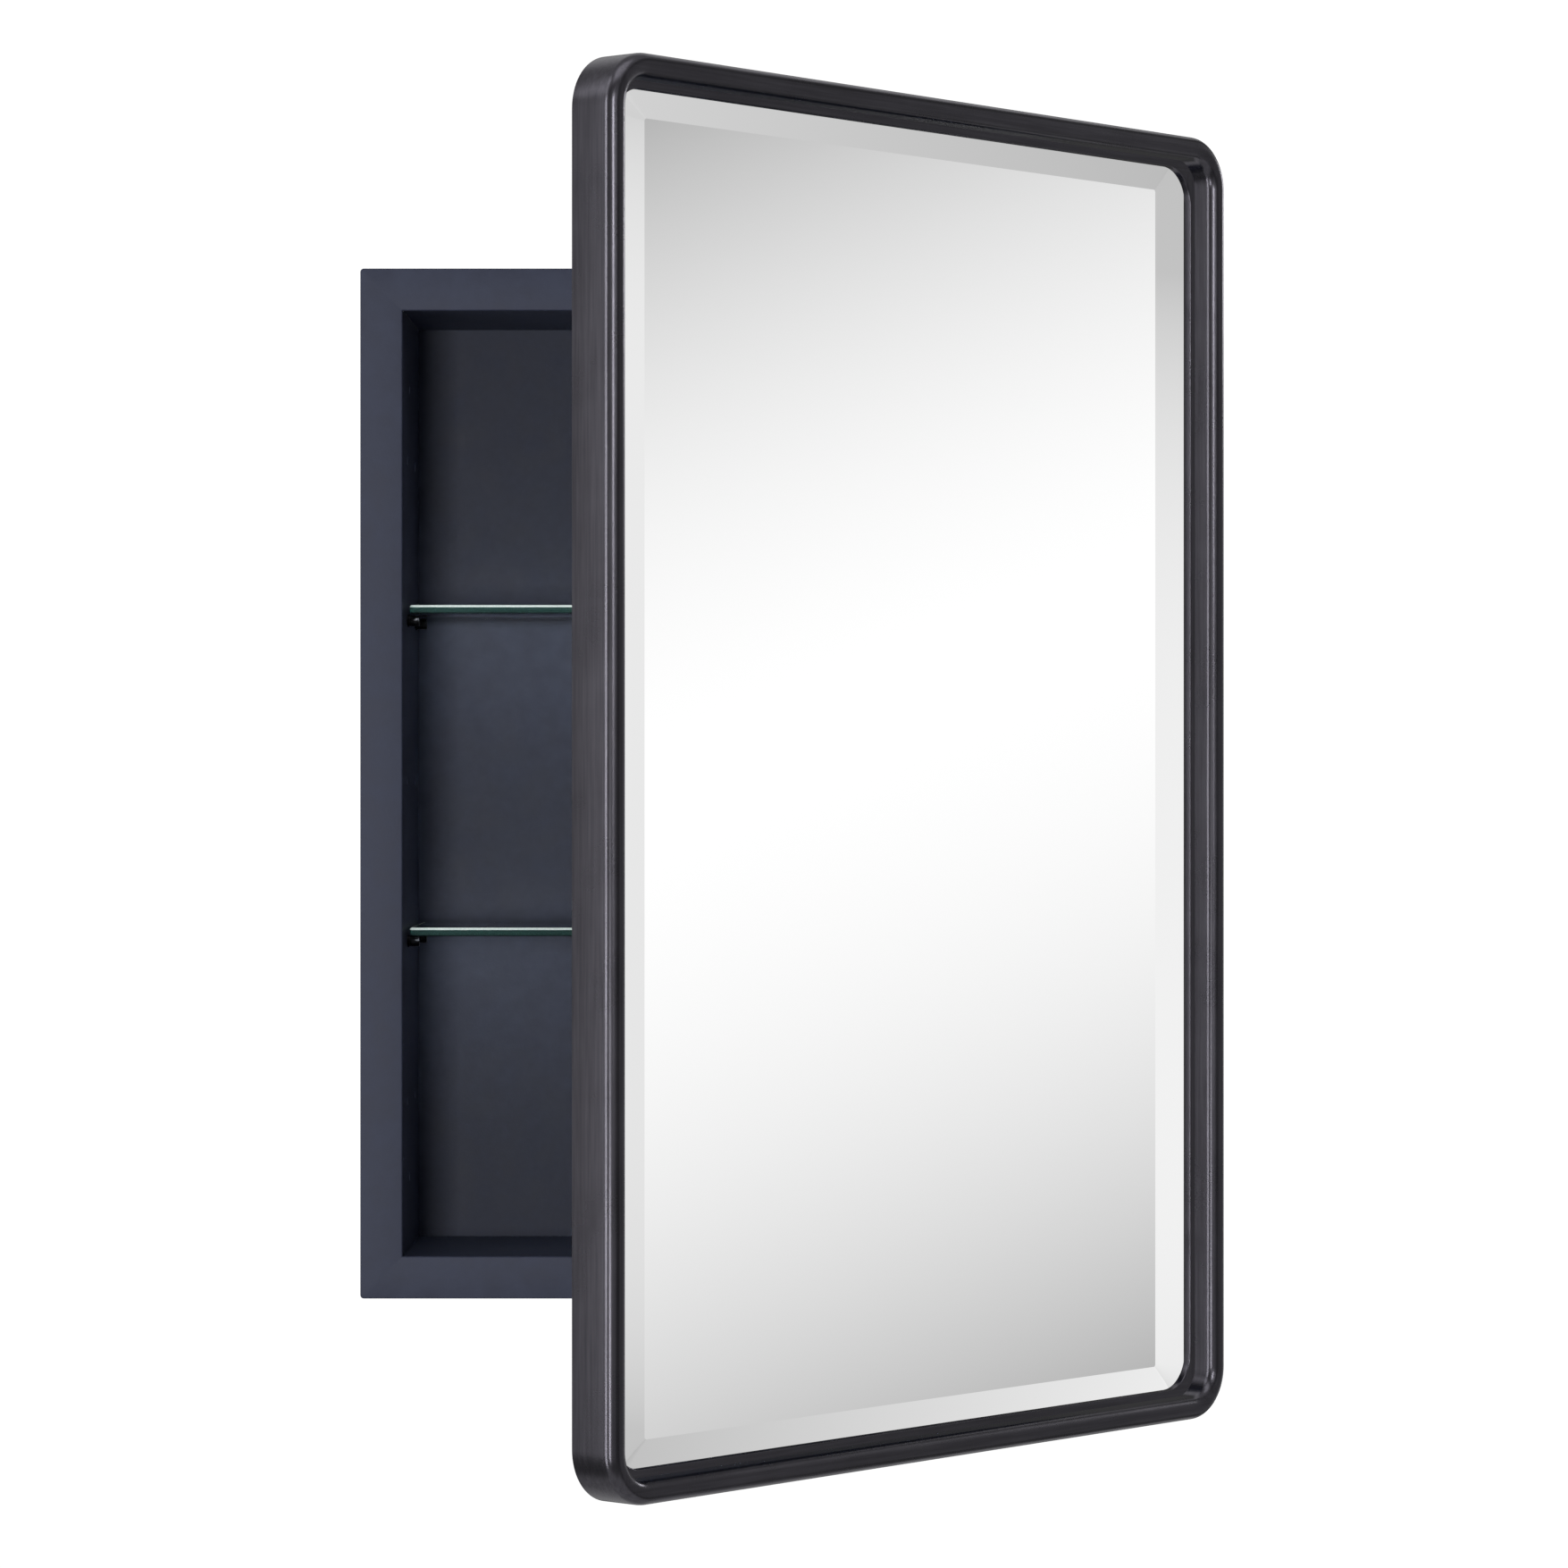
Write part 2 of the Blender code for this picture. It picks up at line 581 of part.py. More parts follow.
def make_mirror(materials, door):
    """Bevelled glass: flat back, thin rim, wide bevel and a flat front."""
    bm = bmesh.new()
    width = DOOR_WIDTH - 2 * GLASS_INSET
    height = DOOR_HEIGHT - 2 * GLASS_INSET
    flat_width = DOOR_WIDTH - 2 * (TIER_INSET + BEVEL_SIDE)
    flat_height = DOOR_HEIGHT - 2 * (TIER_INSET + BEVEL_END)
    loops = [rounded_loop(bm, width, height, GLASS_CORNER, -GLASS_BACK),
             rounded_loop(bm, width, height, GLASS_CORNER, -GLASS_BACK - GLASS_EDGE),
             rounded_loop(bm, flat_width, flat_height, BEVEL_CORNER, -GLASS_FRONT)]
    join_rings(bm, loops)
    bm.faces.new(loops[0])
    bm.faces.new(loops[-1][::-1])
    add_object("mirror_glass", bm, materials["mirror"], door, door_location(), 1.0)


def make_gasket(materials, door):
    """Foam strip between the frame's lip and the mirror's edge."""
    front = LIP_BACK - GAP
    back = front - GASKET_THICKNESS
    outer = GLASS_INSET
    inner = outer + GASKET_WIDTH
    bm = bmesh.new()
    loops = []
    for inset, height in ((outer, back), (outer, front), (inner, front), (inner, back)):
        width = DOOR_WIDTH - 2 * inset
        loops.append(rounded_loop(bm, width, DOOR_HEIGHT - 2 * inset, GLASS_CORNER, -height))
    join_rings(bm, loops, closed=True)
    add_object("mirror_gasket", bm, materials["black_rubber"], door, door_location())


def make_backing(materials, door):
    """Board behind the mirror, drilled for the hinge screws."""
    bm = bmesh.new()
    width = DOOR_WIDTH - 2 * GLASS_INSET
    height = DOOR_HEIGHT - 2 * GLASS_INSET
    rounded_plate(bm, width, height, GLASS_CORNER, -GAP, -GAP - BACKING_THICKNESS)
    backing = add_object("door_backing", bm, materials["backing_board"], door, door_location())
    bm = bmesh.new()
    depth = -DOOR_BACK_LOCAL + 2 * BACKING_THICKNESS
    for end in ENDS.values():
        for z in screw_heights(end * HINGE_HEIGHT):
            add_cylinder(bm, (door_screw_x(), 0, z), (0, -1, 0), SCREW_RADIUS + GAP, depth)
    add_boolean(backing, add_cutter("backing_screw_holes", bm, door))


def make_clips(materials, door):
    """Flat clips across the joint between frame and backing, each with a screw."""
    under_head = GAP + CLIP_THICKNESS + GAP
    profile = ((-CLIP_SCREW_LENGTH + GAP, SCREW_RADIUS), (under_head, SCREW_RADIUS),
               (under_head, SCREW_HEAD_RADIUS), (under_head + CLIP_SCREW_HEAD * CLIP_HEAD_CROWN, SCREW_HEAD_RADIUS),
               (under_head + CLIP_SCREW_HEAD, SCREW_HEAD_RADIUS * CLIP_HEAD_CROWN))
    for place, (x, z, inward) in clip_places().items():
        at = Vector((x, 0.0, z))
        outer_end = at - inward * (CLIP_SCREW_INSET - CLIP_INSET)
        inner_end = outer_end + inward * CLIP_LENGTH
        across = Vector((abs(inward.z), 0, abs(inward.x))) * CLIP_WIDTH / 2
        corners = [outer_end - across, outer_end + across, inner_end - across, inner_end + across]
        clip = bmesh.new()
        low = (min(c.x for c in corners), GAP, min(c.z for c in corners))
        high = (max(c.x for c in corners), GAP + CLIP_THICKNESS, max(c.z for c in corners))
        add_box(clip, low, high)
        item = add_object("clip_" + place, clip, materials["zinc_steel"], door, door_location())
        hole = bmesh.new()
        radius = SCREW_RADIUS + GAP
        add_cylinder(hole, (x, -CLIP_THICKNESS, z), (0, 1, 0), radius, 4 * CLIP_THICKNESS, SCREW_SIDES)
        add_boolean(item, add_cutter(f"clip_{place}_hole", hole, door, door_location()))
        screw = bmesh.new()
        add_turned(screw, at, (0, 1, 0), profile, SCREW_SIDES)
        add_object("clip_screw_" + place, screw, materials["zinc_steel"], door, door_location())


def make_magnets(materials, door):
    """Magnets in open cups that meet the steel trim."""
    inner = MAGNET_RADIUS + GAP
    outer = inner + CUP_WALL
    floor = GAP + CUP_FLOOR
    rim = floor + MAGNET_THICKNESS
    for label, side in ENDS.items():
        at = (-TRIM_MIDDLE_X, 0.0, side * MAGNET_HEIGHT)
        cup = bmesh.new()
        profile = ((GAP, outer), (rim, outer), (rim, inner), (floor, inner))
        add_turned(cup, at, (0, 1, 0), profile, ROUND_SIDES)
        add_object("magnet_cup_" + label, cup, materials["zinc_steel"], door, door_location())
        magnet = bmesh.new()
        base = (at[0], floor + GAP, at[2])
        add_cylinder(magnet, base, (0, 1, 0), MAGNET_RADIUS, MAGNET_THICKNESS, ROUND_SIDES)
        add_object("magnet_" + label, magnet, materials["magnet"], door, door_location())


def make_bumpers(materials, door):
    """Soft buttons that meet the trim's corners when the door shuts."""
    height = CLOSED_GAP - 2 * GAP
    profile = tuple((GAP + height * up, BUMPER_RADIUS * out) for up, out in BUMPER_PROFILE)
    for hand, side in SIDES.items():
        for label, end in ENDS.items():
            bm = bmesh.new()
            add_turned(bm, (side * TRIM_MIDDLE_X, 0.0, end * BUMPER_HEIGHT), (0, 1, 0), profile, ROUND_SIDES)
            add_object(f"bumper_{label}_{hand}", bm, materials["black_rubber"], door, door_location())


def make_door_axis():
    """The empty that carries the door: on the hinge axis, turned to the rest angle."""
    axis = bpy.data.objects.new("door_axis", None)
    bpy.context.scene.collection.objects.link(axis)
    axis.location = (HINGE_X, HINGE_Y, DOOR_RISE)
    axis.rotation_euler = (0.0, 0.0, math.radians(REST_ANGLE))
    return axis


def clear_scene():
    for item in list(bpy.data.objects):
        bpy.data.objects.remove(item, do_unlink=True)


def main():
    clear_scene()
    materials = make_materials()
    make_back_panel(materials)
    make_side_walls(materials)
    make_end_walls(materials)
    make_face_trim(materials)
    make_shelves(materials)
    make_shelf_pins(materials)
    door = make_door_axis()
    for label, side in ENDS.items():
        make_hinge(label, side, materials, door)
    make_door_frame(materials, door)
    make_mirror(materials, door)
    make_gasket(materials, door)
    make_backing(materials, door)
    make_clips(materials, door)
    make_magnets(materials, door)
    make_bumpers(materials, door)


main()
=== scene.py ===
import json
import math

import bmesh
import bpy
from mathutils import Matrix, Vector


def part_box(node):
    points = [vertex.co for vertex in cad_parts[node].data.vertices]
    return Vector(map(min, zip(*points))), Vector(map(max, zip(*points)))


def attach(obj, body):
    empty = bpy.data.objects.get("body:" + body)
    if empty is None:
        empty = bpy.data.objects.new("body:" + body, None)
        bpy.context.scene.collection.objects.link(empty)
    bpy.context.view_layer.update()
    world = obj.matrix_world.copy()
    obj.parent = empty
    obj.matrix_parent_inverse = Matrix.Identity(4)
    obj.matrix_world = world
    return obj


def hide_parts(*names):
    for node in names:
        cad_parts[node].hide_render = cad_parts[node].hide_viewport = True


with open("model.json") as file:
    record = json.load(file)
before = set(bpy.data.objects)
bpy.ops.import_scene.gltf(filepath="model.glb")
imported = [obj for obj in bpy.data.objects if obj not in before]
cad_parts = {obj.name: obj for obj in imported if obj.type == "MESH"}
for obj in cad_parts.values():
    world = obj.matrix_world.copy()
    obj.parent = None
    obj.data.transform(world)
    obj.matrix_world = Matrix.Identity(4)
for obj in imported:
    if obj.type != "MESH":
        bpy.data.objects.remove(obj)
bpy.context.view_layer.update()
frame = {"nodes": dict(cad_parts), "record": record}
hinge = frame["record"]["behaviour"]["joints"][0]
hingePlace = Vector(hinge["pos_m"])
restTurn = math.radians(-hinge["range_deg"][0])  # how far open the door stands at rest
doorMatrix = Matrix.Translation(hingePlace) @ Matrix.Rotation(restTurn, 4, "Z")
mm = 0.001


def localBox(node):  # a door node's corners about the hinge, with the door shut
    back = doorMatrix.inverted()
    spots = [back @ v.co for v in frame["nodes"][node].data.vertices]
    low = Vector(min(p[i] for p in spots) for i in range(3))
    high = Vector(max(p[i] for p in spots) for i in range(3))
    return low, high


doorLow, doorHigh = localBox("door_frame")
doorSize = doorHigh - doorLow
doorMiddle = Vector(((doorLow.x + doorHigh.x) / 2, doorHigh.y, (doorLow.z + doorHigh.z) / 2))
doorPlace = doorMatrix @ Matrix.Translation(doorMiddle)  # from the middle of the shut door's back
print("frame loaded, door", [round(v, 4) for v in doorSize])


# colours and nodes

def linear(hexText):  # sRGB hex to linear colour
    parts = [int(hexText[i:i + 2], 16) / 255 for i in (0, 2, 4)]
    return tuple(c / 12.92 if c < 0.04045 else ((c + 0.055) / 1.055) ** 2.4 for c in parts) + (1.0,)


def setInputs(tree, node, values):  # a constant, a node, or a node and its output's name
    for name, value in values.items():
        if isinstance(value, bpy.types.Node):
            value = (value, 0)
        if isinstance(value, tuple) and isinstance(value[0], bpy.types.Node):
            tree.links.new(value[0].outputs[value[1]], node.inputs[name])
        else:
            node.inputs[name].default_value = value


def addNode(tree, kind, values=None, **settings):  # one node, its settings, its inputs
    node = tree.nodes.new(kind)
    for name, value in settings.items():
        setattr(node, name, value)
    setInputs(tree, node, values or {})
    return node


def setStops(ramp, *stops):  # a ramp's two positions and colours
    for stop, (at, hexText) in zip(ramp.color_ramp.elements, stops):
        stop.position = at
        stop.color = linear(hexText)


def newMaterial(name):
    material = bpy.data.materials.new(name)
    material.use_nodes = True
    tree = material.node_tree
    tree.nodes.clear()
    shader = addNode(tree, "ShaderNodeBsdfPrincipled")
    addNode(tree, "ShaderNodeOutputMaterial", {"Surface": shader})
    return material, tree, shader


# meshes

mergeGap = 1e-7  # closer corners become one


def meshItem(name, bm, material):  # an object at the origin, with its place in its mesh
    mesh = bpy.data.meshes.new(name)
    bm.to_mesh(mesh)
    bm.free()
    mesh.materials.append(material)
    item = bpy.data.objects.new(name, mesh)
    bpy.context.scene.collection.objects.link(item)
    return item


def closedItem(name, bm, material):  # the same, with its faces turned outwards
    bmesh.ops.remove_doubles(bm, verts=bm.verts, dist=mergeGap)
    bmesh.ops.recalc_face_normals(bm, faces=bm.faces)
    return meshItem(name, bm, material)


def finishPiece(item, body, nodes, turn=None, smooth=35):  # edges under smooth degrees look round
    if turn is not None:
        item.data.transform(turn)
    item.data.shade_smooth()
    item.data.set_sharp_from_angle(angle=math.radians(smooth))
    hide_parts(*nodes)
    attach(item, body)


def namesOf(*starts):  # the solid model's nodes whose names start so
    return sorted(n for n in frame["nodes"] if n.startswith(starts))


def coatNodes(nodes, material):  # nodes that keep their shape and only get a finish
    for node in nodes:
        mesh = frame["nodes"][node].data
        mesh.materials.clear()
        mesh.materials.append(material)


def roundedLoop(bm, width, height, radius, y, steps):  # a rounded rectangle, facing along y
    loop = []
    for corner, (signX, signZ) in enumerate(((1, 1), (-1, 1), (-1, -1), (1, -1))):
        x = signX * (width / 2 - radius)
        z = signZ * (height / 2 - radius)
        for step in range(steps + 1):
            angle = math.pi / 2 * (corner + step / steps)
            loop.append(bm.verts.new((x + radius * math.cos(angle), y, z + radius * math.sin(angle))))
    return loop


def skin(bm, loops, closed=False):
    pairs = list(zip(loops, loops[1:])) + ([(loops[-1], loops[0])] if closed else [])
    for first, second in pairs:
        for i in range(len(first)):
            j = (i + 1) % len(first)
            bm.faces.new((first[i], first[j], second[j], second[i]))


def arcPoints(middle, radius, start, end, steps):  # angles in degrees
    points = []
    for step in range(steps + 1):
        angle = math.radians(start + (end - start) * step / steps)
        points.append((middle[0] + radius * math.cos(angle), middle[1] + radius * math.sin(angle)))
    return points


# geometry node trees

def newTree(name, inputs):
    tree = bpy.data.node_groups.new(name, "GeometryNodeTree")
    tree.interface.new_socket("Geometry", in_out="INPUT", socket_type="NodeSocketGeometry")
    for label, kind in inputs.items():
        tree.interface.new_socket(label, in_out="INPUT", socket_type="NodeSocket" + kind)
    tree.interface.new_socket("Geometry", in_out="OUTPUT", socket_type="NodeSocketGeometry")
    return tree, addNode(tree, "NodeGroupInput")


def endTree(tree, start, geometry):  # plain geometry with its material
    real = addNode(tree, "GeometryNodeRealizeInstances", {"Geometry": geometry})
    coat = addNode(tree, "GeometryNodeSetMaterial", {"Geometry": real, "Material": (start, "Material")})
    addNode(tree, "NodeGroupOutput", {"Geometry": coat})


def growPiece(name, points, edges, tree, values):  # runs a tree on the points and keeps its mesh
    source = bpy.data.meshes.new(name + "Source")
    source.from_pydata([tuple(p) for p in points], edges, [])
    item = bpy.data.objects.new(name + "Source", source)
    bpy.context.scene.collection.objects.link(item)
    modifier = item.modifiers.new("grow", "NODES")
    modifier.node_group = tree
    for socket in tree.interface.items_tree:
        if socket.in_out == "INPUT" and socket.name in values:
            modifier[socket.identifier] = values[socket.name]
    graph = bpy.context.evaluated_depsgraph_get()
    mesh = bpy.data.meshes.new_from_object(item.evaluated_get(graph), depsgraph=graph)
    item.modifiers.remove(modifier)
    bpy.data.objects.remove(item)
    bm = bmesh.new()
    bm.from_mesh(mesh)
    bmesh.ops.recalc_face_normals(bm, faces=bm.faces)
    bm.to_mesh(mesh)
    bm.free()
    mesh.name = name
    piece = bpy.data.objects.new(name, mesh)
    bpy.context.scene.collection.objects.link(piece)
    print("  grown", name, len(mesh.polygons), "faces")
    return piece


# materials

finish = {
    "steelDark": "464b61", "steelLight": "4f556c", "steelMottle": 14 * mm, "steelPeel": 1.3 * mm,
    "bronzeDark": "5c5a61", "bronzeLight": "6d6b73", "patina": 35 * mm,
    "brushLength": 60 * mm, "brushWidth": 1.8 * mm,  # coarser than real brushing, so that it shows
    "silver": "f5f5f5", "silverHaze": 120 * mm,
    "glassBody": "eef7f4", "glassFilm": 60 * mm, "glassIor": 1.5, "glassFrost": 1.2 * mm,
    # the arris colours are a painted highlight for the shelf's top corner
    "edgeDark": "2c4a48", "edgeLight": "3b5f5b", "arrisHighlightDark": "c9dcd8", "arrisHighlightLight": "e4efec",
    "oxideDark": "1c1c1f", "oxideLight": "2b2b2f",
    "zincDark": "8f9196", "zincLight": "bdbfc4", "spangle": 2.5 * mm,
}


def powderCoat():  # polyester powder baked on sheet steel: satin, faintly mottled, a fine orange peel
    material, tree, shader = newMaterial("slatePowderCoat")
    place = (addNode(tree, "ShaderNodeTexCoord"), "Object")
    mottle = addNode(tree, "ShaderNodeTexNoise", {"Vector": place, "Scale": 1 / finish["steelMottle"]})
    colour = addNode(tree, "ShaderNodeValToRGB", {"Fac": mottle})
    setStops(colour, (0.3, finish["steelDark"]), (0.7, finish["steelLight"]))
    rough = addNode(tree, "ShaderNodeMapRange", {"Value": mottle, "To Min": 0.42, "To Max": 0.56})
    peel = addNode(tree, "ShaderNodeTexNoise",
                   {"Vector": place, "Scale": 1 / finish["steelPeel"], "Detail": 1.0})
    bump = addNode(tree, "ShaderNodeBump", {"Height": peel, "Distance": 0.06 * mm, "Strength": 0.6})
    setInputs(tree, shader, {"Base Color": colour, "Roughness": rough, "Normal": bump,
                             "Specular IOR Level": 0.36})
    return material


def brushedBronze():  # dark bronze, brushed along each bar, so highlights stretch into streaks
    material, tree, shader = newMaterial("oilRubbedBronze")
    spot = addNode(tree, "ShaderNodeTexCoord")
    shut = addNode(tree, "ShaderNodeMapping", {"Vector": (spot, "Object"), "Location": doorPlace.translation,
                                               "Rotation": (0, 0, restTurn)}, vector_type="TEXTURE")
    axes = addNode(tree, "ShaderNodeSeparateXYZ", {"Vector": shut})
    toEdge = []  # how far in from the door's sides, and from its ends
    for axis, half in (("X", doorSize.x / 2), ("Z", doorSize.z / 2)):
        off = addNode(tree, "ShaderNodeMath", {0: (axes, axis)}, operation="ABSOLUTE")
        toEdge.append(addNode(tree, "ShaderNodeMath", {0: half, 1: off}, operation="SUBTRACT"))
    onSide = addNode(tree, "ShaderNodeMath", {0: toEdge[0], 1: toEdge[1]}, operation="LESS_THAN")
    fine = 1 / finish["brushWidth"]
    coarse = 1 / finish["brushLength"]
    upright = addNode(tree, "ShaderNodeVectorMath", {0: shut, 1: (fine, fine, coarse)}, operation="MULTIPLY")
    level = addNode(tree, "ShaderNodeVectorMath", {0: shut, 1: (coarse, fine, fine)}, operation="MULTIPLY")
    along = addNode(tree, "ShaderNodeMix", {0: onSide, 4: level, 5: upright}, data_type="VECTOR")
    streak = addNode(tree, "ShaderNodeTexNoise",
                     {"Vector": (along, 1), "Scale": 1.0, "Detail": 2.0, "Roughness": 0.65})
    patina = addNode(tree, "ShaderNodeTexNoise",
                     {"Vector": shut, "Scale": 1 / finish["patina"], "Detail": 3.0, "Roughness": 0.6})
    streakPart = addNode(tree, "ShaderNodeMath", {0: streak, 1: 0.75}, operation="MULTIPLY")
    both = addNode(tree, "ShaderNodeMath", {0: patina, 1: 0.25, 2: streakPart}, operation="MULTIPLY_ADD")
    colour = addNode(tree, "ShaderNodeValToRGB", {"Fac": both})
    setStops(colour, (0.33, finish["bronzeDark"]), (0.67, finish["bronzeLight"]))
    rough = addNode(tree, "ShaderNodeMapRange", {"Value": patina, "To Min": 0.24, "To Max": 0.32})
    bump = addNode(tree, "ShaderNodeBump", {"Height": streak, "Distance": 0.002 * mm, "Strength": 0.3})
    setInputs(tree, shader, {"Base Color": colour, "Roughness": rough, "Normal": bump, "Metallic": 1.0})
    return material


def silveredGlass():  # silvered float glass: a clear, sharp reflection, with the faintest haze
    material, tree, shader = newMaterial("silveredGlass")
    place = (addNode(tree, "ShaderNodeTexCoord"), "Object")
    haze = addNode(tree, "ShaderNodeTexNoise", {"Vector": place, "Scale": 1 / finish["silverHaze"]})
    rough = addNode(tree, "ShaderNodeMapRange", {"Value": haze, "To Min": 0.0, "To Max": 0.012})
    setInputs(tree, shader, {"Base Color": linear(finish["silver"]), "Roughness": rough, "Metallic": 1.0})
    return material


def floatGlass():  # clear float glass: seen through, with the faintest film
    material, tree, shader = newMaterial("clearFloatGlass")
    place = (addNode(tree, "ShaderNodeTexCoord"), "Object")
    film = addNode(tree, "ShaderNodeTexNoise", {"Vector": place, "Scale": 1 / finish["glassFilm"]})
    rough = addNode(tree, "ShaderNodeMapRange", {"Value": film, "To Min": 0.0, "To Max": 0.03})
    setInputs(tree, shader, {"Base Color": linear(finish["glassBody"]), "Roughness": rough,
                             "Transmission Weight": 1.0, "IOR": finish["glassIor"]})
    return material


def glassEdge(name, dark, light, low, high, through):  # cut glass: frosted, from roughness low to high
    material, tree, shader = newMaterial(name)
    place = (addNode(tree, "ShaderNodeTexCoord"), "Object")
    frost = addNode(tree, "ShaderNodeTexNoise", {"Vector": place, "Scale": 1 / finish["glassFrost"]})
    colour = addNode(tree, "ShaderNodeValToRGB", {"Fac": frost})
    setStops(colour, (0.3, dark), (0.7, light))
    rough = addNode(tree, "ShaderNodeMapRange", {"Value": frost, "To Min": low, "To Max": high})
    setInputs(tree, shader, {"Base Color": colour, "Roughness": rough, "Transmission Weight": through,
                             "IOR": finish["glassIor"]})
    return material


def platedSteel(name, dark, light):  # plated or blackened steel: a soft metal shine
    material, tree, shader = newMaterial(name)
    place = (addNode(tree, "ShaderNodeTexCoord"), "Object")
    spangle = addNode(tree, "ShaderNodeTexVoronoi", {"Vector": place, "Scale": 1 / finish["spangle"]})
    cell = addNode(tree, "ShaderNodeSeparateColor", {"Color": (spangle, "Color")})
    colour = addNode(tree, "ShaderNodeValToRGB", {"Fac": (cell, "Red")})
    setStops(colour, (0.0, dark), (1.0, light))
    rough = addNode(tree, "ShaderNodeMapRange", {"Value": (cell, "Green"), "To Min": 0.26, "To Max": 0.42})
    setInputs(tree, shader, {"Base Color": colour, "Roughness": rough, "Metallic": 1.0})
    return material


def dullSolid(name, dark, light, size, rough, depth):  # matt, with flecks of this size and depth
    material, tree, shader = newMaterial(name)
    place = (addNode(tree, "ShaderNodeTexCoord"), "Object")
    fleck = addNode(tree, "ShaderNodeTexNoise",
                    {"Vector": place, "Scale": 1 / size, "Detail": 4.0, "Roughness": 0.7})
    colour = addNode(tree, "ShaderNodeValToRGB", {"Fac": fleck})
    setStops(colour, (0.3, dark), (0.7, light))
    spread = addNode(tree, "ShaderNodeMapRange",
                     {"Value": fleck, "To Min": rough - 0.08, "To Max": rough + 0.08})
    bump = addNode(tree, "ShaderNodeBump", {"Height": fleck, "Distance": depth, "Strength": 0.7})
    setInputs(tree, shader, {"Base Color": colour, "Roughness": spread, "Normal": bump})
    return material


slateSteel = powderCoat()
bronze = brushedBronze()
mirrorFace = silveredGlass()
shelfGlass = floatGlass()
# the shelf's polished edge, into which the glass gathers its deep green
shelfEdge = glassEdge("polishedGlassEdge", finish["edgeDark"], finish["edgeLight"], 0.08, 0.18, 0.5)
# the ground corner above it: frosted, and painted near white as a highlight line on the top corner only
shelfArrisHighlight = glassEdge("groundGlassArris", finish["arrisHighlightDark"], finish["arrisHighlightLight"], 0.3, 0.5, 0.2)
# hinges, clips, cups and screws: zinc crystals, drawn coarse enough to show
zinc = platedSteel("zincPlatedSteel", finish["zincDark"], finish["zincLight"])
# shelf pins: blackened steel, near black with a soft shine
blackOxide = platedSteel("blackOxideSteel", finish["oxideDark"], finish["oxideLight"])
# painted backing board: flat black with a fibrous tooth
hardboard = dullSolid("paintedHardboard", "161617", "232325", 0.8 * mm, 0.72, 0.08 * mm)
# gasket and bumpers: dull black
rubber = dullSolid("blackRubber", "121213", "1d1d1f", 0.6 * mm, 0.7, 0.05 * mm)
# sintered magnets: dark grey, a little shiny, fine grained
ferrite = dullSolid("ferriteMagnet", "2a2a2c", "3a3a3d", 0.5 * mm, 0.5, 0.03 * mm)
print("materials made")


# cabinet trim: folded sheet with soft front edges

trimSpec = {"edgeRound": 0.9 * mm, "cornerRound": 2.0 * mm, "innerCorner": 0.5 * mm, "foot": 9 * mm,
            "footChamfer": 0.6 * mm, "sheet": 1.2 * mm, "edgeSteps": 6, "cornerSteps": 8}


def makeTrim():
    low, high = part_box("face_trim")
    opening = -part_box("left_wall")[1].x  # the inner face of the left wall is the opening's edge
    strip = high.x - opening
    width = high.x - low.x
    height = high.z - low.z
    depth = high.y - low.y
    edge = trimSpec["edgeRound"]
    sheet = trimSpec["sheet"]
    chamfer = trimSpec["footChamfer"]
    section = [(strip, sheet)] + arcPoints((strip - edge, edge), edge, 0, -90, trimSpec["edgeSteps"])
    section += arcPoints((edge, edge), edge, -90, -180, trimSpec["edgeSteps"])
    section += [(0, depth), (trimSpec["foot"], depth), (trimSpec["foot"], depth - sheet),
                (sheet + chamfer, depth - sheet), (sheet, depth - sheet - chamfer), (sheet, sheet)]
    bm = bmesh.new()
    loops = []
    for inset, behind in section:
        tighter = (trimSpec["innerCorner"] - trimSpec["cornerRound"]) * inset / strip
        loops.append(roundedLoop(bm, width - 2 * inset, height - 2 * inset, trimSpec["cornerRound"] + tighter,
                                 low.y + behind, trimSpec["cornerSteps"]))
    skin(bm, loops, closed=True)
    finishPiece(closedItem("faceTrim", bm, slateSteel), "cabinet", ("face_trim",))


makeTrim()
coatNodes(("back_panel", "left_wall", "right_wall", "top_wall", "bottom_wall"), slateSteel)
print("trim and walls done")


# glass shelves with polished, rounded edges

shelfSpec = {"edgeRound": 1.3 * mm, "edgeSteps": 4, "cornerRound": 3 * mm, "cornerSteps": 5}


def makeShelf(node, name):
    low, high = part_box(node)
    edge = shelfSpec["edgeRound"]
    thick = high.z - low.z
    section = arcPoints((edge, edge), edge, -90, -180, shelfSpec["edgeSteps"])
    section += arcPoints((edge, thick - edge), edge, 180, 90, shelfSpec["edgeSteps"])
    bm = bmesh.new()
    loops = []
    for inset, up in section:
        loops.append(roundedLoop(bm, high.x - low.x - 2 * inset, high.y - low.y - 2 * inset,
                                 shelfSpec["cornerRound"] - inset, up, shelfSpec["cornerSteps"]))
    skin(bm, loops)
    top = bm.faces.new(loops[-1])
    bottom = bm.faces.new(loops[0][::-1])
    for face in bm.faces:
        face.material_index = 0 if face in (top, bottom) else 1
        # only the top rounded corner gets the pale painted-highlight finish; the lower corner keeps the
        # polished edge's green
        if face.material_index and face.calc_center_median().y > thick - edge:
            face.material_index = 2
    middle = (low + high) / 2
    lay = Matrix(((1, 0, 0, middle.x), (0, 0, 1, middle.y), (0, 1, 0, low.z), (0, 0, 0, 1)))
    shelf = closedItem(name, bm, shelfGlass)
    shelf.data.materials.append(shelfEdge)
    shelf.data.materials.append(shelfArrisHighlight)
    shelf.data.transform(lay)
    shelf.data.flip_normals()  # laying it flat mirrors it
    finishPiece(shelf, "cabinet", (node,))


for tier in ("upper", "lower"):
    makeShelf("glass_shelf_" + tier, "shelf" + tier.capitalize())
print("shelves done")


# door frame: a deep bead swept round the door, and an inner step

